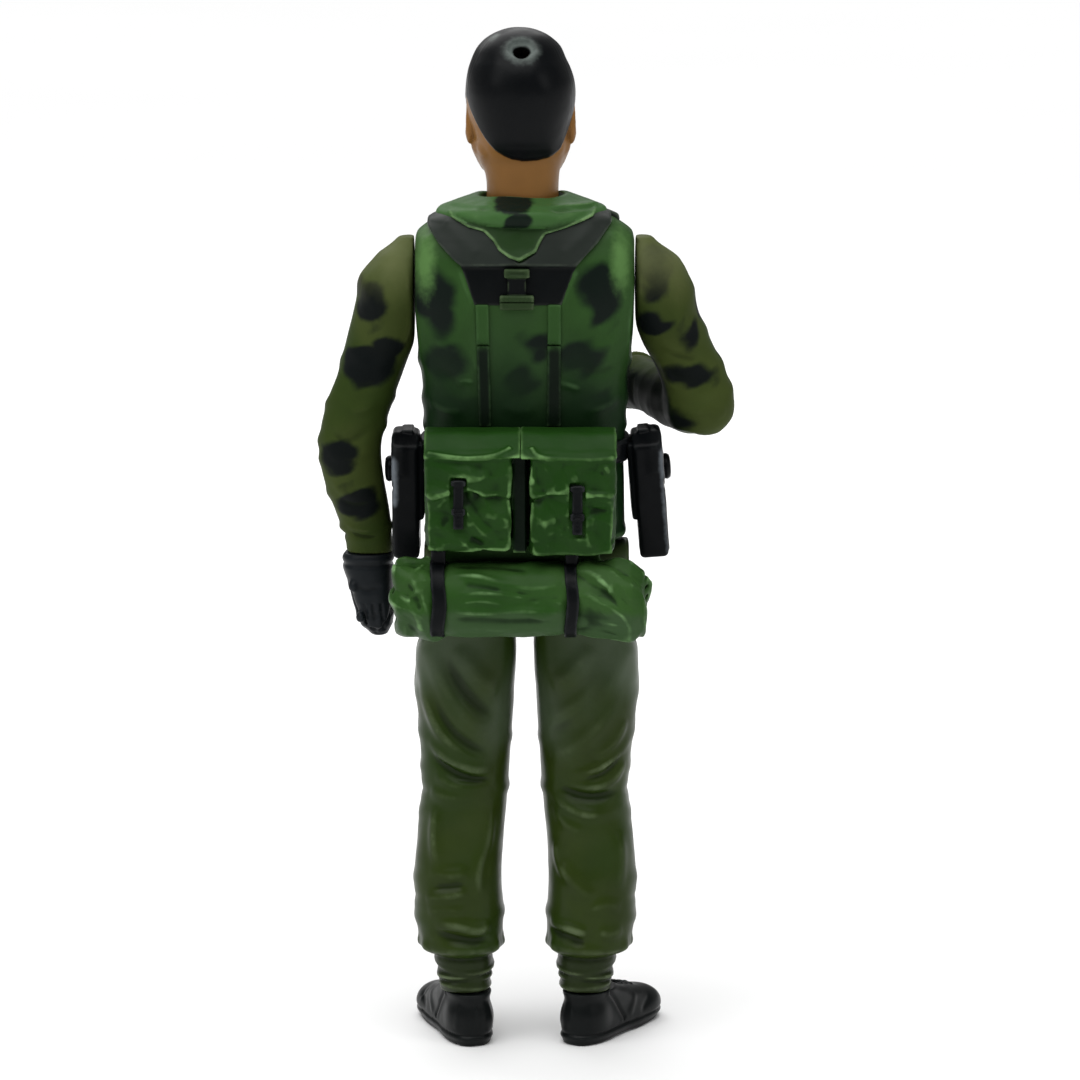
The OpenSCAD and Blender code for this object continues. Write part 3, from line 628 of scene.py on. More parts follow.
for s, way in ((1, "+x"), (-1, "-x")):
    for p, w, a in (([(-3.8, 65.6), (0, 64.6), (4.2, 65.9)], 0.6, 0.25), ([(-4, 62.4), (0.4, 61.2), (4.4, 62.6)], 0.6, 0.28), ([(-3.4, 59.6), (0, 58.7), (3.6, 59.8)], 0.5, 0.2),
                    ([(-3.8, 49.2), (-3.2, 52), (-3.4, 54.6)], 0.6, 0.25), ([(3.6, 49.2), (3.9, 52), (3.5, 54.6)], 0.6, 0.25)):
        v.fold(p, way, w, a)
v.d += (0.05 * v.noise(2.6, 5)).astype(F)
# hem
v.d = v.d - (0.16 * np.exp(-((v.z - 48.95) / 0.38) ** 2)).astype(F)
camo_torso = blobs([((8.6, 6.5, 71.4), (2.3, 3, 2.4)), ((7.6, 6.6, 69.3), (1.4, 3, 1.7)), ((7.5, 6.5, 65.1), (2.4, 3, 1.8)), ((7.4, 6, 61.0), (3.2, 3, 1.0)),
                    ((-6.6, 6.5, 72.6), (2.0, 3, 1.7)), ((-7.1, 6.5, 70.8), (1.7, 3, 2.1)), ((-5.1, 6.5, 65.6), (2.1, 3, 1.6)), ((-1.0, 6.8, 67.0), (1.4, 3, 1.0)),
                    ((-1.6, 6.8, 66.2), (0.9, 3, 1.0)), ((0.3, 6.8, 63.7), (1.4, 3, 1.6)), ((-6.9, 6, 61.3), (2.0, 2.5, 1.3)), ((9.6, 0, 66), (1.5, 2.4, 2.0)), ((-9.6, 1, 63), (1.5, 2.4, 2.0)),
                    ((7.6, -6.4, 72.4), (1.6, 2.5, 2.2)), ((2.4, -6.6, 73.6), (1.7, 2, 1.4)), ((-7.2, -6.4, 69.8), (1.9, 2.5, 2.4)), ((-2.2, -6.6, 63.9), (2.0, 2, 1.5)),
                    ((6.8, -6, 62.6), (2.1, 2.5, 1.7)), ((-6.6, -5.4, 51.8), (2.1, 2.5, 1.6)), ((4.6, -5.4, 50.4), (2.2, 2.5, 1.2)), ((0.6, -6.6, 59.8), (1.5, 2, 0.9)), ((9.2, 3, 52), (1.6, 2.5, 1.8)),
                    ((-9.2, -1, 52.6), (1.6, 2.5, 1.8))], seed=4)
olive_low = lambda P, N: 47.6 - P[:, 2]


def lit(P, N):
    """Painted highlight on the backs of the shoulders, where the top light shines."""
    a = np.sqrt(((P[:, 0] - 9.0) / 0.8) ** 2 + ((P[:, 2] - 74.2) / 2.4) ** 2)
    b = np.sqrt(((P[:, 0] + 8.7) / 0.75) ** 2 + ((P[:, 2] - 74.4) / 2.2) ** 2)
    return np.where(P[:, 1] > 0, 0.7 * (1 - np.minimum(a, b)), -1.5)


v.cut(cyl((0.2, 0, 79.5), (0, 0, 1), 3.75, 1.1), 0.03)
for side, name in ((1, "smock_back"), (-1, "smock_front")):
    w = Vol((-10.8, -8.4, 38.8), (10.8, 8.4, 79.9), 0.2)
    w.d = smax(v.d, (0.015 - side * v.y).astype(F), 0.06)
    # low: painted shade, darker green towards the bottom of the torso; lit: painted highlight on the shoulders.
    surface(w, name, "torso", m_smock, ("torso_back" if side > 0 else "torso_front",), {"camo": camo_torso, "olive": olive_low, "lit": lit, "low": lambda P, N: (64.4 - P[:, 2]) * 0.5 + 0.5 * np.sin(P[:, 0])})
TD = v.d

# ---------------------------------------------------------------- harness yoke, straps and buckle
yoke = [(4.6, 70.55), (5.75, 74.1), (6.5, 74.7), (7.8, 76.0), (8.9, 77.5), (8.8, 80), (2.4, 80), (2.4, 77), (1.6, 75.6), (0.5, 74.3), (-0.9, 75.2), (-1.7, 77), (-1.7, 80), (-7.8, 80),
        (-7.9, 77.8), (-6.6, 76.1), (-5.4, 74.9), (-4.7, 74.1), (-3.35, 70.55)]
w = Vol((-9.6, 0, 69.6), (9.6, 8.4, 79.9), 0.14)
U = torso_field(w)
band = np.clip((w.z - 73.9) / 0.35, 0, 1)
thick = 0.12 + 0.26 * band
w.d = smax(smax(U - thick, -(U + 1.3), 0.05), outline(w, yoke), 0.16)
w.d = smax(w.d, 0.05 - w.y, 0.02)
for p, ww, a in (([(7.4, 77.9), (5.6, 76.4), (4.2, 74.9)], 0.55, 0.12), ([(-6.6, 77.9), (-4.9, 76.4), (-3.4, 74.9)], 0.55, 0.12), ([(5.7, 74.2), (0.6, 74.25), (-4.6, 74.2)], 0.16, 0.1)):
    w.fold(p, "+y", ww, a, 0.2)
w.d += (0.03 * w.noise(1.4, 9)).astype(F)
surface(w, "yoke", "torso", m_strap, ("harness_yoke",), {"black": lambda P, N: np.minimum(74.05 - P[:, 2], 1.0)})

w = Vol((-4.4, 3.5, 58.6), (5.6, 8.4, 71.2), 0.13)
U = torso_field(w)
A = outline(w, [(3.05, 59.3), (4.15, 59.3), (4.45, 70.65), (3.25, 70.65)])
B = outline(w, [(-3.25, 59.3), (-2.0, 59.3), (-2.1, 70.65), (-3.3, 70.65)])
w.d = smax(smax(U - 0.33, -(U + 1.3), 0.05), np.minimum(A, B), 0.14)
for p in ([(4.2, 70.3), (4.15, 66), (4.0, 60)], [(3.35, 70.3), (3.3, 66), (3.2, 60)], [(-2.3, 70.3), (-2.25, 66), (-2.15, 60)], [(-3.1, 70.3), (-3.1, 66), (-3.05, 60)]):
    w.fold(p, "+y", 0.14, 0.07, 0.05)
w.cut(rbox((3.7, 7.5, 66.9), (1.2, 1.2, 0.07), 0.03), 0.05)
w.cut(rbox((-2.6, 7.5, 66.9), (1.2, 1.2, 0.07), 0.03), 0.05)
w.d += (0.03 * w.noise(1.2, 10)).astype(F)
surface(w, "back_straps", "torso", m_vstrap, ("harness_back_straps",), {"green": lambda P, N: P[:, 2] - 66.9})

w = Vol((-1.6, 6.2, 69.5), (3.0, 8.6, 74.6), 0.09)
U = torso_field(w)
w.add(rbox((0.7, 7.35, 73.5), (1.15, 0.42, 0.4), 0.16))
w.add(rbox((0.7, 7.25, 72.3), (0.85, 0.32, 1.2), 0.15), 0.05)
w.add(rbox((0.7, 7.6, 70.9), (1.55, 0.42, 0.66), 0.2), 0.05)
for x in (-0.35, 0.0, 0.35, 0.7, 1.05, 1.4, 1.75):
    w.cut(caps([(x, 8.08, 71.35), (x + 0.12, 8.1, 70.5)], 0.09), 0.05)
w.cut(rbox((0.7, 8.0, 70.93), (1.7, 0.2, 0.05), 0.02), 0.06)
w.cut(rbox((0.7, 7.8, 73.5), (0.7, 0.14, 0.12), 0.05), 0.06)
w.d = smax(w.d, -(U + 0.1), 0.02)
surface(w, "back_buckle", "torso", m_buckle, ("harness_buckle",), {"black": lambda P, N: np.minimum(73.05 - P[:, 2], P[:, 2] - 71.6)})

# chest straps in front
w = Vol((-9.6, -8.4, 57.3), (9.6, 0, 79.9), 0.15)
U = torso_field(w)
A = np.minimum(outline(w, [(4.2, 57.7), (5.8, 57.7), (6.4, 70), (8.7, 77.6), (8.2, 80), (5.6, 80), (4.8, 70)]),
               outline(w, [(-4.2, 57.7), (-5.8, 57.7), (-6.4, 70), (-8.7, 77.6), (-8.2, 80), (-5.6, 80), (-4.8, 70)]))
w.d = smax(smax(U - 0.36, -(U + 1.3), 0.05), A, 0.14)
w.d = smax(w.d, w.y + 0.02, 0.02)
for s in (1, -1):
    for p in ([(s * 4.5, 58.5), (s * 5.1, 70), (s * 6.6, 76.5)], [(s * 5.55, 58.5), (s * 6.1, 70), (s * 7.8, 76.8)]):
        w.fold(p, "-y", 0.16, 0.08, 0.05)
    yy = w.snap([(s * 5.35, 66.4)], "-y")[0][1]
    w.add(rbox((s * 5.35, yy + 0.1, 66.4), (1.0, 0.34, 0.7), 0.14), 0.05)
    w.cut(rbox((s * 5.35, yy - 0.3, 66.4), (0.55, 0.2, 0.3), 0.08), 0.06)
w.d += (0.03 * w.noise(1.4, 12)).astype(F)
surface(w, "chest_straps", "torso", m_strap, ("harness_front_straps",), {"black": lambda P, N: np.full(len(P), -1.0)})

# belt
w = Vol((-10.2, -7, 54.9), (10.2, 7, 58.4), 0.15)
U = torso_field(w)
w.d = smax(smax(U - 0.45, -(U + 1.3), 0.05), np.abs(w.z - 56.65) - 1.03, 0.2)
for z in (55.95, 57.35):
    w.d -= (0.07 * np.exp(-((w.z - z) / 0.14) ** 2) * (np.abs(U - 0.4) < 0.5)).astype(F)
for x in (-8.4, -6.6, 6.6, 8.4):
    w.cut(ell((x, -5.85, 56.65), (0.28, 0.5, 0.28)), 0.06)
surface(w, "waist_belt_web", "torso", m_black, ("waist_belt",), {"glint": dull})
w = Vol((-2.4, -7.0, 54.8), (2.4, -4.9, 58.6), 0.09)
w.add(rbox((0, -5.9, 56.65), (1.7, 0.55, 1.3), 0.25))
w.cut(rbox((0, -6.6, 56.65), (1.2, 0.32, 0.85), 0.15), 0.08)
w.add(rbox((0, -6.15, 56.65), (0.28, 0.3, 0.95), 0.12), 0.05)
w.add(caps([(-1.1, -6.25, 56.65), (1.1, -6.25, 56.65)], 0.16), 0.04)
surface(w, "belt_buckle_plate", "torso", m_buckle, ("belt_buckle",), {"black": lambda P, N: np.full(len(P), -1.0)})

# ---------------------------------------------------------------- hood folded down round the neck
w = Vol((-8.9, -7.8, 73.6), (8.9, 8.2, 81.2), 0.14)
U = torso_field(w)
x1, y1 = w.x - 0.3, w.y - 0.15
back = step(-3, 5, w.y)
u = np.sqrt(x1**2 + (y1 * (8.0 / (6.5 + 0.25 * back))) ** 2)
side = np.abs(x1) / (np.sqrt(x1**2 + y1**2) + 1e-3)
drop = (1 - back) * 1.0 * (1 - side) + 0.12 * np.sin(3.1 * np.arctan2(y1, x1) + 0.6)
zz = w.z + drop


def seg2(u, z, a, b, ra, rb):
    e = np.array(b) - np.array(a)
    t = np.clip(((u - a[0]) * e[0] + (z - a[1]) * e[1]) / (e @ e), 0, 1)
    return np.sqrt((u - a[0] - t * e[0]) ** 2 + (z - a[1] - t * e[1]) ** 2) - (ra + (rb - ra) * t)


w.d = seg2(u, zz, (4.25, 79.4), (7.15, 78.25), 0.66, 0.72).astype(F)
w.d = smin(w.d, seg2(u, zz, (6.9, 77.95), (7.25, 77.95), 0.5, 0.5), 0.2)
w.d = even(w.d, w.h)
vee = [(7.3, 79.4), (6.6, 78.3), (5.1, 77.5), (3.7, 77.2), (2.8, 76.3), (2.3, 75.5), (1.4, 74.9), (0.5, 74.6), (-1.0, 75.4), (-1.5, 76.4), (-1.9, 77), (-3.7, 77.5), (-6.2, 78.4), (-6.8, 79.4)]
pv = outline(w, vee)
flap = smax(smax(U - 0.5, -(U + 1.3), 0.05), pv, 0.2)
flap = smax(flap, 0.5 - w.y, 0.1)
w.d = smin(w.d, flap, 0.08)
rim = np.exp(-((pv + 0.12) / 0.2) ** 2) * np.exp(-((U - 0.6) / 0.4) ** 2) * (w.y > 1)
w.d -= (0.13 * rim).astype(F)
for p, ww, a in (([(3.6, 79.2), (0.4, 78.6), (-2.9, 79.1)], 0.8, 0.1), ([(6.4, 78.6), (4.2, 78.4), (2.6, 78.0)], 0.5, 0.14), ([(-5.9, 78.6), (-3.9, 78.5), (-2.0, 78.0)], 0.5, 0.14),
                 ([(4.9, 79.5), (3.2, 78.7)], 0.45, -0.12), ([(-4.2, 79.4), (-2.6, 78.8)], 0.45, -0.12), ([(0.9, 77.0), (0.5, 76.0), (0.5, 75.2)], 0.5, -0.1)):
    w.fold(p, "+y", ww, a)
for p, ww, a in (([(4.6, 78.4), (2.4, 77.6), (0.3, 77.2)], 0.6, 0.2), ([(-4.0, 78.4), (-2.0, 77.6), (0.1, 77.2)], 0.6, 0.2), ([(0.3, 78.6), (0.3, 77.2), (0.3, 76.4)], 0.3, -0.35)):
    w.fold(p, "-y", ww, a)
w.d += (0.06 * w.noise(1.7, 14)).astype(F)
w.cut(cyl((0.2, 0, 79), (0, 0, 1), 3.74, 8), 0.1)
camo_hood = blobs([((1.1, 4.6, 79.3), (2.2, 2.6, 1.3)), ((0.6, 6.4, 78.0), (1.7, 2.4, 0.9)), ((-6.4, -2.4, 78.6), (1.7, 2.2, 1.3)), ((5.4, -4.2, 78.4), (2.0, 1.8, 1.2))], seed=8)
# vee: painted shade under the hood roll, on steep back faces below its lower edge.
surface(w, "hood_roll", "torso", m_hood, ("hood",), {"camo": camo_hood, "vee": lambda P, N: np.where((np.abs(N[:, 2]) < 0.62) & (P[:, 1] > 4.5), np.minimum(77.45 + 0.028 * (P[:, 0] - 0.3) ** 2 - P[:, 2], 1), -1)})


# ---------------------------------------------------------------- kit on the back
def crumple(v, cell, amount, seed):
    """Creased plastic made to look like packed cloth: flat facets that meet in soft folds."""
    rng = np.random.default_rng(seed)
    out = np.zeros(v.n, F)
    for i in range(5):
        n = rng.normal(size=3)
        n /= np.linalg.norm(n)
        q = (v.x * n[0] + v.y * n[1] + v.z * n[2]) / (cell * rng.uniform(0.8, 1.5)) + 0.75 * v.noise(cell * 1.7, seed + 11 * i, 1) + rng.uniform()
        t = np.abs((q % 1) - 0.5) * 2
        out += (t - 0.5).astype(F) * F(1.0 if i < 3 else 0.5)
    return (amount * 0.5 * out).astype(F)


for name, x0, x1, sd, clip_x, bottom in (("back_pouch_a", 1.05, 9.05, 21, 5.95, 48.6), ("back_pouch_b", -8.3, -0.35, 31, -4.75, 48.2)):
    w = Vol((min(x0, 0.33) - 0.5, 5.2, 47.6), (max(x1, 0.37) + 0.5, 12.6, 60.2), 0.12)
    cx, hx = (x0 + x1) / 2, (x1 - x0) / 2
    body = rbox((cx, 8.85, (bottom + 58.1) / 2), (hx, 2.93, (58.1 - bottom) / 2), 0.55)(w.x, w.y, w.z)
    # lower part sits back a little from the flap
    flap_z = 54.1 + 0.25 * np.sin(1.1 * w.x + sd) + 0.12 * np.sin(2.7 * w.x + 1)
    low = step(0, 0.25, flap_z - w.z)
    body = body + (0.2 * low * step(9.5, 11.2, w.y)).astype(F)
    w.d = body
    # pillow the faces
    px, pz = (w.x - cx) / hx, (w.z - 53.2) / 5
    w.d -= (0.22 * np.clip(1 - px**2, 0, 1) * np.clip(1 - pz**2, 0, 1) * step(10, 11.4, w.y) - 0.12).astype(F)
    fade = step(0.1, 0.9, 57.2 - w.z) * step(0.15, 0.9, w.z - 48.6) * step(0.1, 0.8, hx - np.abs(w.x - cx))
    w.d += (crumple(w, 3.2, 0.62, sd) * (0.35 + 0.65 * fade)).astype(F)
    # sloped band that ties both pouches together along the top
    lo_x, hi_x = (0.35, x1) if x0 > 0 else (x0, 0.35)
    slope = (w.z - 57.55) * 0.79 + (w.y - 11.7) * 0.61
    top = np.maximum(np.maximum(slope, 57.3 - (w.y < 99) * 0 - w.z + (11.8 - w.y) * 0.05), np.maximum(w.y - 11.85, 5.95 - w.y))
    top = smax(top, w.z - 59.35, 0.3)
    top = smax(top, np.abs(w.x - (lo_x + hi_x) / 2) - (hi_x - lo_x) / 2, 0.12)
    w.d = smin(w.d, top, 0.25)
    w.d = smax(w.d, slope, 0.25)
    ends = [(x1 - 0.2, 57.75), (x1 - 2.2, 57.5), (x1 - 4.3, 57.35), (x0 + 1.6, 57.6), (x0 + 0.1, 58.2)] if x0 > 0 else [(x1 - 0.2, 58.2), (x1 - 1.0, 57.5), (x1 - 3.4, 57.2), (x0 + 2.0, 57.15), (x0 + 0.2, 57.4)]
    w.fold(ends, "+y", 0.24, 0.27, 0.05)
    edge_line = [(x, float(54.1 + 0.25 * math.sin(1.1 * x + sd) + 0.12 * math.sin(2.7 * x + 1)) + 0.12) for x in np.linspace(x0 + 0.25, x1 - 0.25, 9)]
    w.fold(edge_line, "+y", 0.2, 0.17, 0.04)
    for ex in (x0 + 0.28, x1 - 0.28):
        w.fold([(ex, 49.2), (ex, 52), (ex, 56.8)], "+y", 0.22, 0.12, 0.06)
    w.fold([(x0 + 0.4, bottom + 0.35), (cx, bottom + 0.3), (x1 - 0.4, bottom + 0.35)], "+y", 0.25, 0.14, 0.06)
    rng = np.random.default_rng(sd)
    for _ in range(18):
        px0, pz0 = rng.uniform(x0 + 0.6, x1 - 0.6), rng.uniform(49.2, 57.0)
        an, ln = rng.uniform(-1.2, 0.6) if rng.uniform() < 0.6 else rng.uniform(-0.3, 0.3), rng.uniform(0.7, 2.1)
        q = [(px0, pz0), (px0 + ln * 0.5 * math.cos(an), pz0 + ln * 0.5 * math.sin(an) + 0.12), (px0 + ln * math.cos(an), pz0 + ln * math.sin(an))]
        q = [(min(max(a, x0 + 0.3), x1 - 0.3), min(max(b, 48.9), 57.2)) for a, b in q]
        w.fold(q, "+y", rng.uniform(0.24, 0.4), rng.choice([0.2, 0.16, -0.2]), 0.35)
    w.d += 0.25 * crumple(w, 2.8, 0.3, sd + 3)
    # outer side faces: shallow tuck
    xs = x1 if x0 > 0 else x0
    w.fold([(7.2, 49.4), (8.6, 53), (8.4, 57)], "+x" if x0 > 0 else "-x", 0.4, -0.16, 0.2)
    w.fold([(10.4, 49.6), (10.1, 53), (10.3, 56.4)], "+x" if x0 > 0 else "-x", 0.4, 0.14, 0.2)
    # bed for the closing strap
    if x0 > 0:
        w.add(rbox((0.3, 8.0, 53.1), (0.75, 2.0, 4.7), 0.1), 0.25)
    w.cut(rbox((clip_x, 12.0, 53.1 if x0 > 0 else 52.6), (0.72, 0.42, 2.5), 0.15), 0.2)
    w.d = smax(w.d, 5.92 - w.y, 0.03)
    # gap: painted shade, darker green in the narrow gap between the two back pouches.
    surface(w, name, "torso", m_kit, ("back_pouch_left" if x0 > 0 else "back_pouch_right",), {"gap": lambda P, N: np.minimum(0.72 - np.abs(P[:, 0] - 0.35), np.minimum(57.5 - P[:, 2], 11.2 - P[:, 1]))})

w = Vol((-6.1, 10.9, 49.4), (7.4, 12.7, 56.4), 0.09)
for cx, z0, z1 in ((5.95, 50.9, 55.4), (-4.75, 50.4, 54.9)):
    w.add(rbox((cx, 11.72, (z0 + z1) / 2), (0.46, 0.26, (z1 - z0) / 2), 0.12))
    w.add(rbox((cx, 11.84, z1 - 0.32), (0.66, 0.2, 0.24), 0.1), 0.05)
    w.add(rbox((cx, 11.86, z0 + 1.6), (0.62, 0.2, 0.3), 0.1), 0.05)
    w.cut(rbox((cx, 12.08, z0 + 1.6), (0.36, 0.12, 0.12), 0.05), 0.05)
    for zz in np.arange(z0 + 0.5, z0 + 1.2, 0.35):
        w.cut(ell((cx, 12.03, zz), (0.12, 0.12, 0.1)), 0.04)
w.d += (0.03 * w.noise(0.9, 41)).astype(F)
surface(w, "pouch_straps_pair", "torso", m_black, ("pouch_straps",), {"glint": dull})

# ---------------------------------------------------------------- bedroll
RY, RZ = 9.0, 43.85
roll_keys = np.array([[-11.3, 1.4, 2.1, -0.3], [-10.7, 2.5, 2.9, -0.25], [-9.6, 3.1, 3.45, 0.1], [-8.2, 3.2, 3.5, 0.25], [-6.4, 3.2, 3.35, 0.1], [-4.4, 3.05, 3.35, 0.15], [-2.0, 3.1, 3.4, 0.1], [1.5, 3.1, 3.4, 0.12],
                      [5.0, 3.1, 3.4, 0.15], [7.8, 3.1, 3.4, 0.2], [9.4, 3.2, 3.5, 0.25], [10.8, 3.15, 3.4, 0.3], [11.7, 2.85, 3.1, 0.3], [12.1, 2.3, 2.5, 0.3]])


def roll_field(v, grow=0.0):
    xx = v.x.ravel()
    ry = np.interp(xx, roll_keys[:, 0], roll_keys[:, 1])[:, None, None] + 0.25
    rz = np.interp(xx, roll_keys[:, 0], roll_keys[:, 2])[:, None, None]
    cz = RZ + np.interp(xx, roll_keys[:, 0], roll_keys[:, 3])[:, None, None]
    n = np.interp(xx, [-11, -8, 8, 11.5], [2.2, 2.3, 2.4, 3.2])[:, None, None]
    py, pz = np.abs(v.y - RY), np.abs(v.z - cz)
    r = ((py / ry) ** n + (pz / rz) ** n) ** (1 / n) + 1e-4
    d = np.sqrt(py**2 + pz**2) * (1 - 1 / r)
    d = np.where(r < 0.1, -2.5, d)
    d = even(d, v.h) - F(grow)
    return smax(d, np.maximum(v.x - 11.75, -11.0 - v.x) + 0 * v.y, 0.9)


w = Vol((-11.8, 4.9, 39.4), (12.6, 13.3, 48.6), 0.14)
base = roll_field(w)
w.d = base.copy()
for p, ww, a in (([(6.9, 46.6), (4.2, 46.5), (1.6, 45.8), (-1.2, 45.5), (-3.3, 45.9)], 0.34, 0.34), ([(6.4, 44.9), (3.2, 45.1), (0.2, 44.8), (-3.0, 44.9)], 0.26, 0.26), ([(6.9, 43.4), (3.4, 43.3), (0.2, 43.5), (-3.7, 43.3)], 0.28, 0.3),
                 ([(5.9, 44.2), (3.9, 44.4), (1.6, 44.0)], 0.24, 0.16), ([(5.6, 45.9), (3.8, 45.7), (2.0, 45.3)], 0.3, -0.18), ([(1.0, 45.3), (-1.2, 44.6), (-3.3, 44.6)], 0.3, -0.2), ([(6.8, 42.7), (2.6, 42.5), (-3.8, 42.6)], 0.4, -0.24),
                 ([(6.6, 41.9), (1.4, 41.6), (-3.6, 41.9)], 0.5, 0.14), ([(6.7, 47.2), (3.0, 47.3), (-0.6, 46.8)], 0.4, -0.3), ([(-0.6, 44.1), (-2.2, 44.5), (-3.5, 44.0)], 0.22, 0.18),
                 # left end, as seen from behind
                 ([(11.4, 47.2), (10.2, 46.2), (9.2, 44.4), (8.8, 42.6)], 0.34, 0.3), ([(11.5, 45.2), (10.4, 44.1), (9.6, 42.6), (9.4, 41.2)], 0.32, 0.28), ([(9.0, 47.6), (9.9, 46.9), (11.0, 45.6)], 0.28, 0.24), ([(8.8, 45.7), (9.9, 45.2), (10.6, 44.3)], 0.24, 0.22),
                 ([(10.9, 46.6), (9.7, 45.0), (9.3, 43.4)], 0.3, -0.24), ([(11.3, 43.2), (10.5, 42.4), (10.1, 41.2)], 0.3, -0.2),
                 # right end
                 ([(-5.6, 46.9), (-7.3, 45.9), (-8.6, 44.2), (-8.8, 42.4)], 0.34, 0.32), ([(-5.4, 45.1), (-6.7, 44.4), (-7.6, 43.0)], 0.26, 0.24), ([(-6.0, 47.2), (-7.9, 46.8), (-9.3, 45.4), (-10.1, 43.8)], 0.3, 0.26), ([(-7.4, 46.9), (-7.9, 45.8), (-7.4, 44.9)], 0.22, 0.2),
                 ([(-6.6, 45.6), (-8.0, 44.6), (-8.9, 43.0)], 0.3, -0.24), ([(-5.8, 42.6), (-7.6, 42.2), (-9.4, 42.6), (-10.4, 43.6)], 0.34, 0.24), ([(-6.4, 41.4), (-8.4, 41.1), (-9.6, 41.4)], 0.36, -0.16)):
    w.fold(p, "+y", ww, a, 0.25)
w.add(rbox((0.4, 6.75, 47.3), (7.6, 0.62, 1.75), 0.4), 0.5)
w.d += (crumple(w, 3.4, 1.0, 61) * step(4.9, 6.4, np.abs(w.x - 1.7)) + crumple(w, 4.2, 0.22, 64)).astype(F)
# rolled ends: a spiral of wound cloth
for s, x_end in ((1, 11.75), (-1, -11.0)):
    pts = []
    for i in range(34):
        a = i * 0.5
        r = 2.6 * (1 - i / 38)
        pts.append((x_end, RY + 0.92 * r * math.cos(a), RZ + 0.15 + r * math.sin(a)))
    f = caps(pts, 0.16)
    box = ((x_end - 0.8, RY - 3.2, RZ - 3.2), (x_end + 0.8, RY + 3.2, RZ + 3.4))
    w.cut(f, 0.15, box)
for x in (7.8, -4.25):
    band = np.exp(-((w.x - x) / 0.95) ** 2)
    w.d += (0.26 * band).astype(F)
w.d = smax(w.d, 5.95 - w.y - 6 * np.clip(43.6 - w.z, 0, 1) * 0, 0.05)
surface(w, "bedroll_bundle", "torso", m_roll, ("bedroll",), {"pale": lambda P, N: 43.25 - P[:, 2] + 0.18 * np.sin(P[:, 0] * 1.3)})

w = Vol((-5.6, 5.2, 39.2), (9.2, 13.4, 49.6), 0.12)
base = roll_field(w)
w.d = np.full(w.n, 4, F)
for x, hw in ((7.8, 0.66), (-4.25, 0.56)):
    xs = x + 0.12 * np.sin(w.z * 1.1)
    slab = np.abs(w.x - xs) - hw
    s1 = smax(np.maximum(base - 0.12, -(base + 1.2)), slab, 0.12)
    s1 = smax(s1, 6.3 - w.y, 0.05)
    w.d = smin(w.d, s1, 0.05)
    w.add(rbox((x, 9.8, 47.5), (hw, 0.3, 1.2), 0.14), 0.1)
w.d += (0.05 * w.noise(1.1, 71)).astype(F)
surface(w, "bedroll_strap_pair", "torso", m_black, ("bedroll_straps",), {"glint": dull})

# ---------------------------------------------------------------- holsters, built upright at x = 0 and set in place
for s, tilt, outer, name, node in ((1, 0, 2.4, "holster_a", "holster_left"), (-1, 4.6, 2.65, "holster_b", "holster_right")):
    w = Vol((-0.9, -4.0, -12.2), (3.7, 4.0, 0.7), 0.12)
    w.add(rbox((0.1, 0, -4.4), (0.55, 2.9, 3.6), 0.3))
    w.add(rbox((outer / 2, 0, -5.8), (outer / 2, 3.2, 5.8), 0.45))
    taper = 3.4 - 0.045 * (-w.z - 1.5)
    w.d = smax(w.d, np.abs(w.y) - taper, 0.25)
    w.d = smax(w.d, (w.z + 0.75) + (np.abs(w.y) - 2.75) * 0.8, 0.3)
    # flap with its rounded edge and a rib round the pocket below
    flap = poly2([(-3.5, 0.5), (3.5, 0.5), (3.5, -3.6), (2.2, -5.0), (-2.2, -5.0), (-3.5, -3.6)])(w.y, w.z)
    w.d -= (0.14 * step(0.12, -0.12, flap) * step(outer * 0.3, outer * 0.75, w.x)).astype(F)
    rib = poly2([(-2.6, -5.4), (2.6, -5.4), (2.3, -10.9), (-2.3, -10.9)])(w.y, w.z)
    w.d -= (0.13 * np.exp(-(rib / 0.2) ** 2) * step(outer * 0.5, outer * 0.9, w.x)).astype(F)
    w.cut(caps([(outer + 0.05, -2.4, -0.9), (outer + 0.1, 2.4, -0.9)], 0.1), 0.1)
    w.fold([(-2.9, -1.8), (-1.2, -2.3), (1.2, -2.2), (2.9, -1.7)], "+x", 0.3, 0.14)
    w.fold([(-2.2, -7.2), (-0.4, -7.7), (2.0, -7.2)], "+x", 0.4, 0.14)
    w.fold([(-2.0, -9.4), (0.2, -9.0), (2.2, -9.6)], "+x", 0.35, -0.12)
    w.add(cyl((outer + 0.25, -0.4, -3.7), (1, 0, 0), 1.05, 0.5), 0.25)
    w.add(ell((outer + 0.45, -0.4, -3.7), (0.42, 1.22, 1.22)), 0.15)
    w.cut(ell((outer + 1.1, -0.4, -3.7), (0.4, 0.5, 0.5)), 0.12)
    w.add(rbox((outer * 0.45, 0, 0.05), (0.55, 1.9, 0.22), 0.14), 0.12)
    w.d += (0.04 * w.noise(1.6, 81 + s)).astype(F)
    c, q = math.cos(math.radians(tilt)), math.sin(math.radians(tilt))
    # mirror for the right side, then tip the foot outward
    M = np.array([[c, 0, -s * q], [0, 1, 0], [s * q, 0, c]]) @ np.diag([s, 1, 1])
    glint = lambda P, N, k=s, o=outer: (0.42 if k > 0 else 0.2) - np.sqrt((P[:, 0] - o) ** 2 * 1.6 + (P[:, 1] - 3.2) ** 2 * 0.8 + np.maximum(np.abs(P[:, 2] + (4.4 if k > 0 else 6.4)) - (1.8 if k > 0 else 4.6), 0) ** 2)
    surface(w, name, "torso", m_black, (node,), {"glint": glint}, place=(M, (s * 9.72, 0, 58.1)))

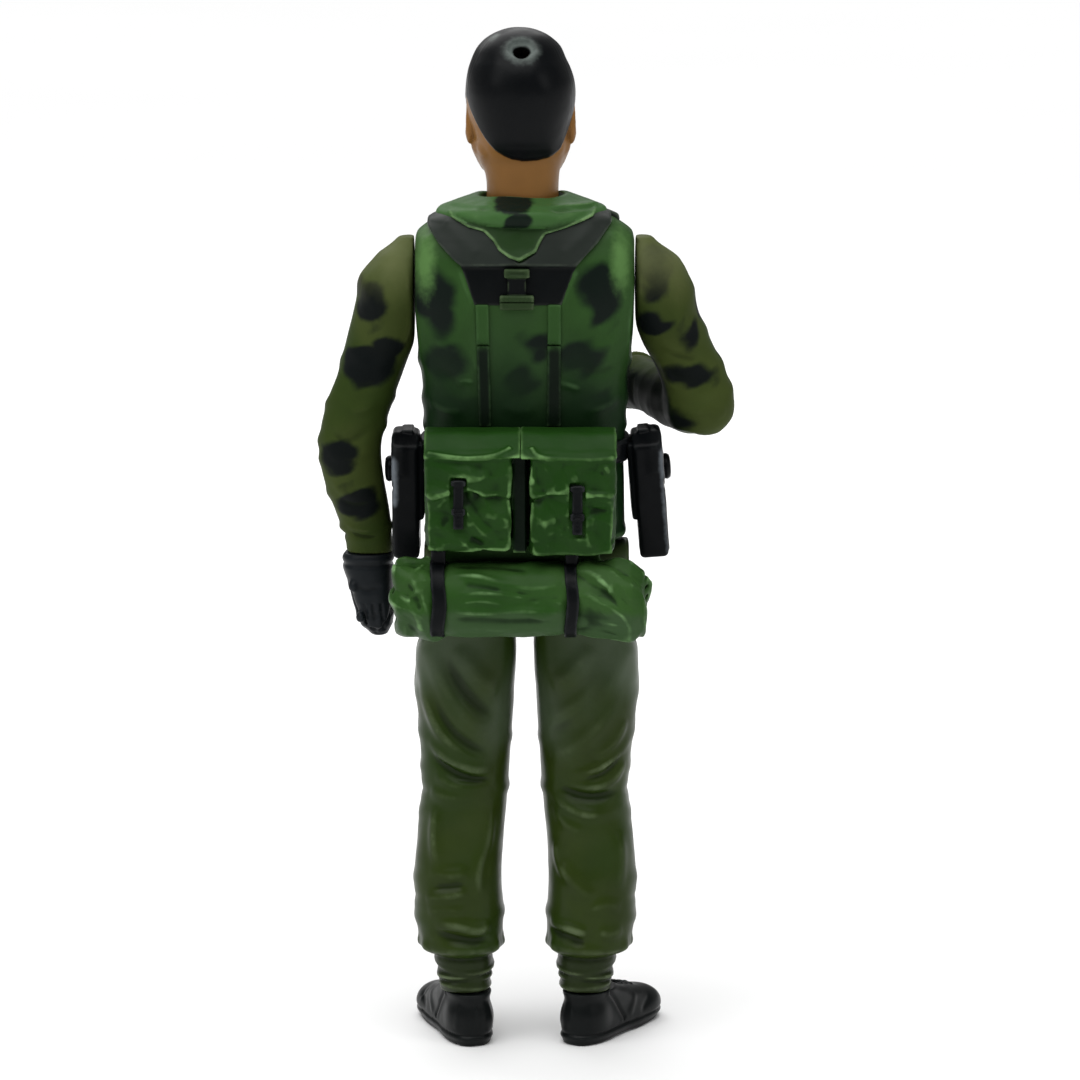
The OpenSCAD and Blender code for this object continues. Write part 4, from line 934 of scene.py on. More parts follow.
# ---------------------------------------------------------------- pouches in front
for s, name, node in ((1, "front_pouch_a", "front_pouch_left"), (-1, "front_pouch_b", "front_pouch_right")):
    x0, x1 = (2.6, 7.2) if s > 0 else (-7.2, -2.6)
    cx = (x0 + x1) / 2
    w = Vol((x0 - 0.5, -9.0, 50.6), (x1 + 0.5, -5.3, 58.6), 0.12)
    w.add(rbox((cx, -7.1, 54.55), (2.27, 1.22, 3.3), 0.45))
    low = step(0, 0.2, 55.3 - w.z + 0.35 * ((w.x - cx) / 2.3) ** 2 * 2)
    w.d += (0.2 * low * step(-7.2, -8.0, w.y)).astype(F)
    w.fold([(x0 + 0.25, 54.9), (cx, 54.75), (x1 - 0.25, 54.9)], "-y", 0.2, 0.12, 0.05)
    w.add(rbox((cx, -8.22, 54.4), (0.42, 0.22, 1.35), 0.12), 0.06)
    w.add(ell((cx, -8.42, 53.7), (0.26, 0.18, 0.26)), 0.05)
    for p in ([(x0 + 0.5, 52.6), (cx, 52.2), (x1 - 0.6, 52.8)], [(x0 + 0.6, 56.8), (cx, 56.5), (x1 - 0.6, 57.0)], [(x0 + 0.9, 51.9), (x0 + 0.7, 53.6)], [(x1 - 0.9, 51.9), (x1 - 0.7, 53.8)]):
        w.fold(p, "-y", 0.28, 0.13)
    w.d += crumple(w, 2.2, 0.22, 91 + s)
    w.d = smax(w.d, w.y + 5.86, 0.04)
    surface(w, name, "torso", m_kit, (node,), {"gap": lambda P, N: np.full(len(P), -1.0)})

# ---------------------------------------------------------------- head
skull_rows = [[80.7, .3, 1.3, -5.4, -3.5, 2], [81.5, .3, 2.5, -5.9, -1.6, 2.1], [82.8, .3, 3.5, -6.1, 1.6, 2.2], [84.4, .35, 4.15, -6.1, 4.3, 2.2],
              [86.4, .4, 4.6, -6.1, 5.4, 2.2], [88.4, .4, 4.9, -6.0, 5.9, 2.2], [90.2, .4, 4.8, -5.8, 5.9, 2.2], [91.8, .5, 4.35, -5.2, 5.4, 2.1],
              [93.4, .6, 3.45, -4.0, 4.2, 2], [94.5, .65, 1.9, -2.3, 2.5, 2], [95, .7, .5, -.6, .7, 2]]
neck_rows = [[79.1, .2, 3.3, -3.3, 3.3, 2], [81, .2, 3.3, -3.2, 3.3, 2], [82.8, .25, 3.5, -3.2, 3.5, 2], [84.5, .3, 3.7, -3.2, 3.8, 2]]
HX = 0.36


def hair_line(x, y, z):
    """Positive inside the hair, in millimetres above its lower edge; the edge height depends on the way round the head."""
    a = np.degrees(np.arctan2(y - 0.2, np.abs(x - HX)))
    k = [-90, -62, -44, -34, -27, -20, -12, 2, 14, 22, 32, 40, 48, 56, 66, 78, 90]
    front = [91.9, 91.6, 91.2, 90.0, 88.2, 87.0, 88.3, 88.9]
    left = np.interp(a, k, front + [88.8, 88.4, 87.3, 86.1, 85.0, 84.2, 83.7, 83.4, 83.3])
    right = np.interp(a, k, front + [87.2, 85.6, 84.2, 83.75, 83.5, 83.4, 83.3, 83.25, 83.25])
    return z - np.where(x > HX, left, right)


w = Vol((-5.4, -7.6, 78.7), (6.1, 6.8, 95.6), 0.12)
w.d = smin(smax(loft(w, skull_rows, 0, 0.3), 80.5 - w.z, 0.2), loft(w, neck_rows, 0, 0.2), 0.9)
dome = ell((0.5, -0.05, 91.3), (4.35, 5.25, 3.68))(w.x, w.y, w.z)
k = step(91.9, 93.6, w.z)
w.d = (w.d * (1 - k) + dome * k).astype(F)
w.add(ell((HX, -4.5, 82.1), (1.9, 1.6, 1.35)), 0.8)
for s in (1, -1):
    w.add(caps([(HX + s * 3.6, 0.2, 84.4), (HX + s * 2.9, -2.4, 82.7), (HX + s * 1.3, -4.2, 81.7)], [0.8, 0.9, 1.0]), 0.9)
    w.add(ell((HX + s * 2.75, -4.15, 86.0), (1.35, 1.35, 1.1)), 0.9)
    w.add(caps([(HX + s * 0.5, -5.75, 89.15), (HX + s * 1.9, -5.35, 89.35), (HX + s * 3.2, -4.3, 88.9)], [0.5, 0.5, 0.4]), 0.6)
    w.cut(ell((HX + s * 1.75, -6.05, 88.0), (1.2, 0.72, 0.62)), 0.45)
    w.add(ell((HX + s * 1.72, -4.72, 87.95), (0.95, 0.82, 0.62)), 0.08)
    w.add(caps([(HX + s * 0.85, -5.32, 87.95), (HX + s * 1.4, -5.55, 88.33), (HX + s * 2.1, -5.45, 88.35), (HX + s * 2.75, -5.0, 87.95)], [0.1, 0.15, 0.15, 0.1], 3), 0.1)
    w.add(caps([(HX + s * 0.9, -5.32, 87.8), (HX + s * 1.5, -5.46, 87.52), (HX + s * 2.1, -5.36, 87.5), (HX + s * 2.7, -5.0, 87.75)], [0.08, 0.11, 0.11, 0.08], 3), 0.1)
    w.cut(ell((HX + s * 1.5, -5.9, 86.0), (0.6, 0.3, 0.9), rz=0), 0.5)
    w.cut(caps([(HX + s * 0.85, -6.1, 85.4), (HX + s * 1.35, -5.95, 84.4)], 0.12), 0.35)
# nose
w.add(caps([(HX, -5.6, 88.7), (HX, -5.95, 87.4), (HX, -6.45, 86.0), (HX, -6.55, 85.6)], [0.42, 0.38, 0.52, 0.55], 3), 0.45)
for s in (1, -1):
    w.add(ell((HX + s * 0.55, -6.1, 85.42), (0.4, 0.5, 0.36)), 0.22)
    w.cut(ell((HX + s * 0.33, -6.55, 85.02), (0.17, 0.26, 0.16)), 0.1)
# mouth and chin
w.add(ell((HX, -5.45, 83.6), (1.7, 0.75, 0.95)), 0.6)
w.add(caps([(HX - 1.15, -5.85, 83.72), (HX - 0.4, -6.16, 83.93), (HX, -6.17, 83.85), (HX + 0.4, -6.16, 83.93), (HX + 1.15, -5.85, 83.72)], [0.1, 0.2, 0.19, 0.2, 0.1], 3), 0.14)
w.add(caps([(HX - 1.0, -5.85, 83.5), (HX, -6.2, 83.33), (HX + 1.0, -5.85, 83.5)], [0.1, 0.26, 0.1], 4), 0.14)
w.cut(caps([(HX - 1.25, -6.02, 83.62), (HX, -6.42, 83.62), (HX + 1.25, -6.02, 83.62)], 0.08, 1), 0.08)
w.cut(ell((HX, -6.45, 84.5), (0.2, 0.3, 0.35)), 0.2)
w.cut(ell((HX, -6.65, 82.8), (0.9, 0.45, 0.3)), 0.35)
w.add(ell((HX, -5.35, 82.0), (0.95, 0.85, 0.7)), 0.5)
# ears
for s in (1, -1):
    ear = (HX + s * 4.62, 0.2, 86.5)
    w.add(ell(ear, (0.5, 1.02, 1.95), rx=12), 0.22)
    w.cut(ell((ear[0] + s * 0.46, ear[1] - 0.05, ear[2] + 0.3), (0.34, 0.55, 1.15), rx=12), 0.15)
    w.add(caps([(ear[0] + s * 0.22, ear[1] - 0.1, ear[2] + 1.0), (ear[0] + s * 0.25, ear[1] + 0.35, ear[2] + 0.1), (ear[0] + s * 0.2, ear[1] - 0.2, ear[2] - 0.8)], 0.14, 3), 0.1)
    w.add(ell((ear[0] + s * 0.1, ear[1] - 0.75, ear[2] - 0.1), (0.26, 0.25, 0.35)), 0.15)
# neck cords and nape
for s in (1, -1):
    w.add(caps([(HX + s * 3.2, 1.6, 84.2), (HX + s * 2.4, -1.4, 81.6), (HX + s * 1.4, -2.7, 79.4)], 0.55, 3), 0.6)
w.fold([(-1.7, 83.0), (-1.9, 81.4), (-2.2, 79.8)], "+y", 0.9, 0.08)
w.fold([(2.3, 83.2), (2.3, 81.4), (2.4, 79.8)], "+y", 0.9, 0.08)
hl = hair_line(w.x, w.y, w.z)
w.d -= (0.13 * step(-0.05, 0.28, hl)).astype(F)
w.d = smax(w.d, (79.22 - w.z).astype(F), 0.05)
w.d += (0.018 * w.noise(1.2, 101)).astype(F)
# comb lines in front and at the sides, faint enough to read as a moulded cap
ang = np.arctan2(w.y - 0.2, w.x - HX)
w.d += (0.02 * np.sin(46 * ang + 1.3 * np.sin(w.z * 1.2)) * step(0.2, 1.2, hl) * step(95, 92.5, w.z) * step(3.5, 0, w.y)).astype(F)
ax = np.array([0, 0.545, 0.839])
hp = np.array([0.3, 3.9, 93.1])
w.cut(ell((hp[0] - 0.1, hp[1] + 0.3, hp[2] + 0.45), (1.3, 1.1, 0.62), rx=-33), 0.25)
w.cut(cyl(hp - ax * 1.2, ax, 0.7, 3.2), 0.06)
low_ax = np.array([0, 0.9, 0.436])
w.cut(cyl(hp + np.array([0, 0.1, -0.25]), low_ax, 0.62, 1.7), 0.08)


def oval(cx, cz, rx, rz, lean=0.0):
    def f(P, N):
        x = P[:, 0] - HX
        out = np.full(len(P), -5.0)
        for s in (1, -1):
            px, pz = (x - s * cx), P[:, 2] - cz - lean * (x * s - cx)
            k = np.sqrt((px / rx) ** 2 + (pz / rz) ** 2)
            out = np.maximum(out, (1 - k) * min(rx, rz))
        return np.where(P[:, 1] < -4.3, out, -5)

    return f


def brow(P, N):
    out = np.full(len(P), -5.0)
    for s in (1, -1):
        t = np.clip(((P[:, 0] - HX) * s - 0.75) / 2.5, 0, 1)
        mid = 89.3 + 0.3 * np.sin(t * 2.9) - 0.34 * t
        out = np.maximum(out, np.minimum(0.2 * (1 - 0.4 * t) - np.abs(P[:, 2] - mid), np.minimum((P[:, 0] - HX) * s - 0.72, 3.2 - (P[:, 0] - HX) * s)))
    return np.where(P[:, 1] < -3.6, out, -5)


def lips(P, N):
    x = np.abs(P[:, 0] - HX)
    hi = 84.12 - 0.28 * np.clip(x / 1.2, 0, 1) ** 1.5 - 0.06 * np.exp(-(x / 0.15) ** 2)
    lo = 83.07 + 0.42 * np.clip(x / 1.2, 0, 1) ** 2
    return np.where(P[:, 1] < -5.2, np.minimum(np.minimum(hi - P[:, 2], P[:, 2] - lo), 1.28 - x), -5)


ear_mask = lambda P: ((np.abs(P[:, 0] - HX) - 4.55) / 0.5).clip(-1, 1)
hair_fn = lambda P, N: np.where((((P[:, 1] - 0.2) / 1.25) ** 2 + ((P[:, 2] - 86.6) / 2.15) ** 2 < 1) & (np.abs(P[:, 0] - HX) > 4.0), -1.0, hair_line(P[:, 0], P[:, 1], P[:, 2]))


# Paler grey round the hole in the crown and a small spot beside it: worn paint and a painted highlight on the crater's
# slopes.
def crown_wear_and_highlight(P, N):
    q = (P - (hp + np.array([0.0, 0.1, 0.1])))
    k = np.sqrt((q[:, 0] / 1.45) ** 2 + (q[:, 1] / 1.5) ** 2 + (q[:, 2] / 1.35) ** 2)
    spot = (1 - k) * 1.2
    q2 = P - np.array([2.65, 1.6, 94.0])
    chip = (1 - np.sqrt((q2 / np.array([0.42, 0.6, 0.5])) ** 2 @ np.ones(3))) * 0.5
    return np.maximum(spot, chip)


# Near black inside the peg hole: painted shade in the bore.
def bore_shade(P, N):
    q = P - hp
    t1 = q @ ax
    r1 = 0.86 - np.linalg.norm(q - t1[:, None] * ax, axis=1)
    q2 = q - np.array([0, 0.1, -0.25])
    t2 = q2 @ low_ax
    r2 = 0.72 - np.linalg.norm(q2 - t2[:, None] * low_ax, axis=1)
    return np.maximum(np.minimum(np.minimum(r1, 0.1 - t1), t1 + 3.4), np.minimum(np.minimum(r2, 1.15 - t2), t2 + 1.6))


surface(w, "head_sculpt", "head", m_head, ("head",), {"hair": hair_fn, "white": oval(1.74, 87.93, 0.68, 0.3), "iris": oval(1.7, 87.93, 0.29, 0.29), "pupil": oval(1.7, 87.93, 0.13, 0.13),
                                                              "brow": brow, "lips": lips, "crown_wear_and_highlight": crown_wear_and_highlight, "bore_shade": bore_shade})

# ---------------------------------------------------------------- arms
# Painted highlight: paler sleeve colour towards the shoulder tops.
arm_top_highlight = lambda P, N: np.clip((P[:, 2] - 73.2) * 0.75, -3, 0.5) + 0.4 * np.sin(P[:, 0] * 1.7)
arm_left_rows = [[46.2, 14.5, 2.2, -5.4, -.9, 2.3], [47.5, 14.65, 2.2, -5.0, -.4, 2.3], [50, 15.1, 2.5, -4.4, .6, 2.2], [53, 15.8, 2.75, -3.6, 1.9, 2.2], [56, 16.15, 2.85, -2.9, 2.9, 2.2],
                 [58, 15.95, 2.95, -2.7, 3.2, 2.2], [61, 15.15, 3.0, -2.9, 3.2, 2.2], [64, 14.05, 3.0, -3.4, 3.4, 2.3], [67, 13.1, 3.2, -4.2, 4.2, 2.4], [70, 12.4, 3.15, -4.9, 4.9, 2.4],
                 [72.5, 12.0, 3.05, -4.7, 4.7, 2.3], [74.5, 11.3, 2.2, -3.6, 3.6, 2.2], [76.1, 10.6, 1.0, -1.4, 1.4, 2]]
arm_right_rows = [[58.2, -15.9, 2.2, -2.2, 1.9, 2.1], [59.5, -16.1, 3.0, -2.8, 2.6, 2.1], [61.5, -16, 3.2, -2.9, 2.8, 2.1], [64, -15.2, 3.15, -3.2, 3.1, 2.2], [66.5, -13.9, 3.2, -3.9, 3.9, 2.3],
                  [69, -12.9, 3.1, -4.7, 4.7, 2.4], [71.5, -12.3, 3.1, -4.9, 4.9, 2.4], [74, -11.6, 2.6, -4, 4, 2.2], [76.1, -10.7, 1, -1.4, 1.4, 2]]
forearm = [(-17.1, 1.6, 60.3, 1.6), (-16.6, .6, 60.3, 2.6), (-15.4, -1.6, 60.4, 2.9), (-14.2, -3.8, 60.5, 2.8), (-12.9, -6.2, 60.7, 2.55), (-11.7, -8.4, 60.9, 2.3), (-10.9, -9.9, 61, 2.2)]

w = Vol((9.9, -6.3, 45.6), (19.9, 5.9, 76.9), 0.16)
w.d = loft(w, arm_left_rows, 0, 0.3)
for p, way, ww, a in (([(15.2, 73.6), (13.4, 70.6), (12.6, 66)], "+y", 0.8, 0.18), ([(10.8, 75), (10.7, 72), (10.6, 68), (11.6, 65.4)], "+y", 0.35, 0.22), ([(17.2, 61.6), (15.4, 60.4), (13.4, 61.2)], "+y", 0.5, 0.2),
                      ([(18.2, 58.6), (16.2, 57.6), (13.9, 58.8)], "+y", 0.5, -0.22), ([(18.4, 56.6), (16.0, 55.9), (14.0, 56.8)], "+y", 0.5, 0.2), ([(15.8, 66.4), (14.2, 64.6), (12.2, 65)], "+y", 0.6, 0.16),
                      ([(17.0, 63.8), (15.0, 62.8), (12.9, 63.2)], "+y", 0.5, -0.14), ([(17.8, 53.4), (15.9, 52.4), (13.9, 53.0)], "+y", 0.5, 0.18), ([(17.2, 50.8), (15.2, 49.9), (13.4, 50.6)], "+y", 0.45, 0.16),
                      ([(17.4, 52.0), (15.6, 51.3), (13.7, 51.8)], "+y", 0.4, -0.14), ([(16.6, 49.2), (14.8, 48.7), (12.9, 49.0)], "+y", 0.28, 0.3), ([(16.4, 48.5), (14.8, 48.0), (12.8, 48.3)], "+y", 0.25, -0.24),
                      ([(-4.4, 49.4), (-2.4, 48.7), (-0.6, 48.9)], "+x", 0.28, 0.3), ([(-5.0, 48.6), (-2.6, 48.0), (-0.6, 48.2)], "+x", 0.25, -0.24), ([(-4.6, 49.4), (-2.4, 48.8), (-0.6, 48.9)], "-x", 0.28, 0.3),
                      ([(16.6, 49.4), (14.8, 48.8), (12.9, 49.2)], "-y", 0.28, 0.3), ([(16.4, 48.6), (14.8, 48.0), (12.9, 48.4)], "-y", 0.25, -0.24),
                      ([(-2.4, 58.8), (0.4, 57.2), (2.8, 58.2)], "+x", 0.5, 0.22), ([(-2.6, 56.4), (0, 55.4), (2.4, 56.4)], "+x", 0.5, 0.2), ([(-3.0, 61.4), (0, 60.6), (2.9, 61.6)], "+x", 0.55, 0.18), ([(-3.6, 52.8), (-1.2, 52), (1.2, 52.8)], "+x", 0.5, 0.16),
                      ([(-4, 73.2), (0, 71.8), (4, 73.0)], "+x", 0.8, 0.14), ([(-3.6, 66.2), (0, 64.6), (3.4, 66)], "+x", 0.6, 0.16),
                      ([(16.8, 58.6), (15.4, 57.4), (13.8, 58.4)], "-y", 0.45, 0.3), ([(16.6, 60.6), (15.0, 59.6), (13.2, 60.8)], "-y", 0.45, 0.26), ([(17.2, 56.2), (15.6, 55.6), (14.0, 56.6)], "-y", 0.45, 0.24), ([(15.6, 64.4), (14.0, 63.2), (12.4, 64.4)], "-y", 0.5, 0.2),
                      ([(17.0, 59.6), (15.2, 58.5), (13.6, 59.6)], "-y", 0.35, -0.22), ([(13.9, 58.8), (13.6, 60.8), (12.9, 63)], "-y", 0.4, 0.15), ([(-2.2, 59.6), (0.2, 58.6), (2.4, 59.4)], "-x", 0.5, 0.22), ([(-2.8, 61.8), (0, 61.2), (2.8, 62)], "-x", 0.5, 0.18)):
    w.fold(p, way, ww, a)
w.d += (0.06 * w.noise(2.4, 111)).astype(F)
w.d = smax(w.d, 10.15 - w.x, 0.25)
w.d = smax(w.d, 46.2 - w.z, 0.12)
camo_l = blobs([((14.0, 4, 70.2), (1.7, 2.6, 2.0)), ((14.3, 3.5, 64.5), (2.9, 3, 2.0)), ((12.6, 3.4, 66.2), (1.4, 2.4, 1.2)), ((17.1, 2.3, 56.0), (2.0, 2.4, 1.6)), ((15.4, 1.3, 51.5), (2.2, 2.6, 1.7)), ((15.3, 1.8, 71.9), (0.8, 1.4, 0.8)),
                ((13.6, -4, 72), (1.9, 2.2, 1.8)), ((14.6, -3, 63.6), (2.2, 2, 1.6)), ((16.8, -2.8, 54), (1.9, 2, 1.6)), ((14.4, -4.6, 49.6), (1.8, 1.6, 1.1)), ((17.6, -1, 60.2), (1.2, 1.8, 1.5)), ((15.9, -1.4, 67.4), (1.4, 1.8, 1.5))], seed=12)
surface(w, "sleeve_left", "arm_left", m_sleeve, ("arm_left",), {"camo": camo_l, "shade": dull, "top": arm_top_highlight})

w = Vol((-20.0, -13.6, 57.0), (-8.2, 5.9, 76.9), 0.16)
w.d = loft(w, arm_right_rows, 0, 0.3)
P4 = np.array(forearm)
w.d = smin(w.d, caps(P4[:, :3], P4[:, 3])(w.x, w.y, w.z), 0.5)
run = (P4[-1, :3] - P4[-3, :3]) / np.linalg.norm(P4[-1, :3] - P4[-3, :3])
w.add(caps([P4[-2, :3] + 0.4 * run, P4[-1, :3] + 3.5 * run], [2.35, 3.0]), 0.4)
for p, way, ww, a in (([(-10.7, 75), (-10.6, 72), (-10.7, 68)], "+y", 0.35, 0.22), ([(-15.4, 72.6), (-14.2, 69.4), (-14.8, 66.6)], "+y", 0.7, 0.16), ([(-16.2, 67.4), (-14.2, 66.2), (-12.2, 66.8)], "+y", 0.5, 0.18),
                      ([(-17.4, 65.6), (-15.0, 65.2), (-12.5, 66.0)], "+y", 0.4, -0.16), ([(-12.6, 64.3), (-14.4, 63.3), (-16.6, 62.6)], "+y", 0.6, -0.1), ([(-12.3, 65.2), (-13.2, 63.5), (-13.8, 61.9)], "+y", 0.4, 0.2), ([(-17.8, 61.4), (-15.8, 60.2), (-13.8, 60.4)], "+y", 0.5, 0.14),
                      ([(-3.4, 66.4), (-1, 64.6), (2.2, 64)], "-x", 0.6, 0.2), ([(-2.6, 63.6), (-0.4, 62.2), (2.2, 61.6)], "-x", 0.5, 0.22), ([(-4, 72.6), (0, 71.4), (4, 72.4)], "-x", 0.8, 0.14), ([(-3.6, 69), (0, 67.6), (3.6, 68.8)], "-x", 0.6, 0.16),
                      ([(-13.6, 64.6), (-14.6, 63.6), (-16.2, 63.4)], "-y", 0.5, 0.3), ([(-12.2, 66.4), (-13.8, 65.4), (-15.8, 65.4)], "-y", 0.5, 0.22)):
    w.fold(p, way, ww, a)
axis = (P4[-1, :3] - P4[-3, :3]) / np.linalg.norm(P4[-1, :3] - P4[-3, :3])
t = (w.x - P4[-1, 0]) * axis[0] + (w.y - P4[-1, 1]) * axis[1] + (w.z - P4[-1, 2]) * axis[2]
far = step(-8, -2, w.y * -1 - 0) * 0
for c, ww, a in ((0.9, 0.24, 0.1), (0.3, 0.2, -0.12), (-2.2, 0.5, 0.1), (-4.2, 0.6, 0.12), (-6.2, 0.6, 0.1)):
    wave = c + 0.35 * np.sin(1.4 * w.z + c) + 0.25 * np.sin(1.1 * w.x)
    w.d -= (a * (1.0 if c > 0 else 0.45) * np.exp(-((t - wave) / ww) ** 2) * (w.z < 63.9) * (w.y < 0.5)).astype(F)
w.d += (0.06 * w.noise(2.4, 113)).astype(F)
w.d = smax(w.d, w.x + 10.15 - np.clip(-6.9 - w.y, 0, 3), 0.25)
w.d = smax(w.d, (t - 1.45).astype(F), 0.12)
camo_r = blobs([((-12.0, 3, 73.6), (1.9, 2.8, 2.2)), ((-11.9, 3.6, 71.6), (1.5, 2.4, 1.4)), ((-11.6, 4, 68.3), (1.8, 2.6, 1.2)), ((-14.8, 2.8, 67.4), (1.0, 2, 1.5)), ((-15.0, 3.0, 63.6), (2.5, 2.2, 1.1)), ((-14.2, 0, 59.2), (2.4, 3, 1.3)),
                ((-12.4, -6.6, 58.6), (2.4, 3.0, 0.9)), ((-13.4, -4.2, 71.4), (1.8, 2.2, 2.0)), ((-13.2, -3.2, 65.8), (2.0, 2, 1.4)), ((-14.2, -4.4, 62.6), (1.8, 1.8, 1.2)), ((-12.0, -8.6, 62.2), (1.6, 1.5, 1.0)), ((-17.2, -1.2, 65.4), (1.3, 1.7, 1.4)), ((-16.1, 0.4, 69.8), (1.1, 1.8, 1.4))], seed=15)
surface(w, "sleeve_right", "arm_right", m_sleeve, ("arm_right",), {"camo": camo_r, "top": arm_top_highlight, "shade": lambda P, N: np.minimum(np.minimum(1.4 - P[:, 1], P[:, 0] + 14.6), 1.6 * (N[:, 0] * 0.88 + N[:, 1] * 0.47) - 0.25 - 1.3 * np.clip(N[:, 2], 0, 1))})

# ---------------------------------------------------------------- gloved hands
hand_left_rows = [[38.2, 13.7, .8, -4.6, -2.4, 2.2], [39.2, 13.95, 1.5, -5.8, -1.5, 2.4], [41.2, 14.2, 1.95, -6.5, -1.0, 2.6], [43.2, 14.45, 2.15, -6.4, -.9, 2.6], [44.9, 14.7, 2.4, -5.9, -.8, 2.5], [46.15, 14.6, 2.25, -5.5, -.8, 2.4]]
w = Vol((11.2, -7.6, 37.5), (17.8, 0.2, 46.7), 0.1)
w.d = loft(w, hand_left_rows, 0, 0.25)
w.add(caps([(13.4, -5.3, 44.4), (12.7, -6.0, 42.9), (12.75, -5.9, 41.4)], [0.8, 0.72, 0.6], 4), 0.25)
for y in (-4.75, -3.35, -2.0):
    for p in ([(y - 0.3, 43.1), (y, 41), (y + 0.25, 38.6)],):
        w.fold(p, "+x", 0.17, -0.3, 0.12)
    w.fold([(y - 0.2, 41.6), (y, 40.2), (y + 0.2, 38.7)], "-x", 0.17, -0.28, 0.12)
for y in (-5.5, -4.05, -2.7, -1.5):
    w.add(ell((16.0, y, 43.1), (0.5, 0.6, 0.55)), 0.35)
    w.add(ell((15.35, y + 0.15, 40.2), (0.45, 0.55, 0.5)), 0.35)
for x, z1 in ((14.75, 38.7), (13.95, 38.4), (13.2, 38.7)):
    w.fold([(x + 0.25, 41.6), (x + 0.1, 40.2), (x, z1)], "+y", 0.17, -0.13, 0.1)
    w.fold([(x + 0.62, 41.6), (x + 0.5, 40.4), (x + 0.38, z1)], "+y", 0.28, 0.05, 0.1)
w.fold([(15.8, 43.2), (14.6, 42.8), (13.2, 43.3)], "+y", 0.3, -0.16)
w.fold([(15.4, 40.6), (14.3, 40.3), (13.2, 40.7)], "+y", 0.3, -0.16)
w.d -= (0.14 * np.exp(-((w.z - 45.7) / 0.3) ** 2)).astype(F)
w.d += (0.13 * np.exp(-((w.z - 45.1) / 0.22) ** 2)).astype(F)
a70 = math.radians(70)
ga = np.array([0, -math.sin(a70), math.cos(a70)])
gp = np.array([14.15, -3.75, 41.1])
w.cut(cyl(gp + 2.7 * ga, ga, 1.1, 4.3), 0.08)


def slot_left(x, y, z):
    gb = np.array([0, math.cos(a70), math.sin(a70)])
    q = (y - gp[1]) * gb[1] + (z - gp[2]) * gb[2]
    return np.maximum(np.maximum(np.abs(q) - 0.45, y + 2.3), np.maximum(x - gp[0], gp[0] - 6 - x))


w.cut(slot_left, 0.06)
w.d += (0.035 * w.noise(1.3, 121)).astype(F)
w.d = smax(w.d, w.z - 46.15, 0.06)
surface(w, "glove_left", "arm_left", m_glove, ("hand_left",))

fist_rows = [[0.03, 0, 2.3, -2.25, 2.25, 2.4], [1.4, 0, 2.6, -2.3, 2.4, 2.5], [3.4, 0, 2.7, -2.2, 2.4, 2.6], [5.2, 0, 2.5, -2.0, 2.0, 2.5], [6.4, 0, 1.6, -1.3, .9, 2.2]]
w = Vol((-3.6, -3.6, -0.4), (3.6, 3.6, 7.1), 0.1)
w.d = loft(w, fist_rows, 0, 0.25)
w.add(caps([(-1.5, 1.3, 0.9), (-1.75, 1.75, 1.7), (-1.55, 1.85, 2.3)], [0.75, 0.65, 0.5], 4), 0.3)
for x in (-1.3, 0.05, 1.35):
    w.cut(caps([(x, -2.45, 2.2), (x, -2.35, 4.6), (x, -1.3, 6.4), (x, 0.5, 6.5), (x, 2.0, 5.5)], 0.1), 0.2)
for x in (-2.0, -0.65, 0.7, 2.0):
    w.add(ell((x, -1.95, 4.7), (0.6, 0.5, 0.6)), 0.35)
w.d -= (0.12 * np.exp(-((w.z - 0.5) / 0.28) ** 2)).astype(F)
w.d += (0.13 * np.exp(-((w.z - 1.05) / 0.2) ** 2)).astype(F)
w.cut(cyl((0, 0.2, 3.3), (1, 0, 0), 1.1, 8), 0.08)
w.cut(lambda x, y, z: np.maximum(np.abs(z - 3.3) - 0.42, np.maximum(0.2 - y, y - 8)), 0.06)
w.d += (0.035 * w.noise(1.3, 123)).astype(F)
w.d = smax(w.d, (-w.x - 2.62 + 0.2 * np.clip(w.z - 1.0, 0, 6)).astype(F), 0.35)
w.d = smax(w.d, 0.03 - w.z, 0.06)
az, ay = math.radians(-61.9), math.radians(86.6)
M = np.array([[math.cos(az), -math.sin(az), 0], [math.sin(az), math.cos(az), 0], [0, 0, 1]]) @ np.array([[math.cos(ay), 0, math.sin(ay)], [0, 1, 0], [-math.sin(ay), 0, math.cos(ay)]])
surface(w, "glove_right", "arm_right", m_glove, ("hand_right",), place=(M, (-10.88, -9.94, 61.0)))

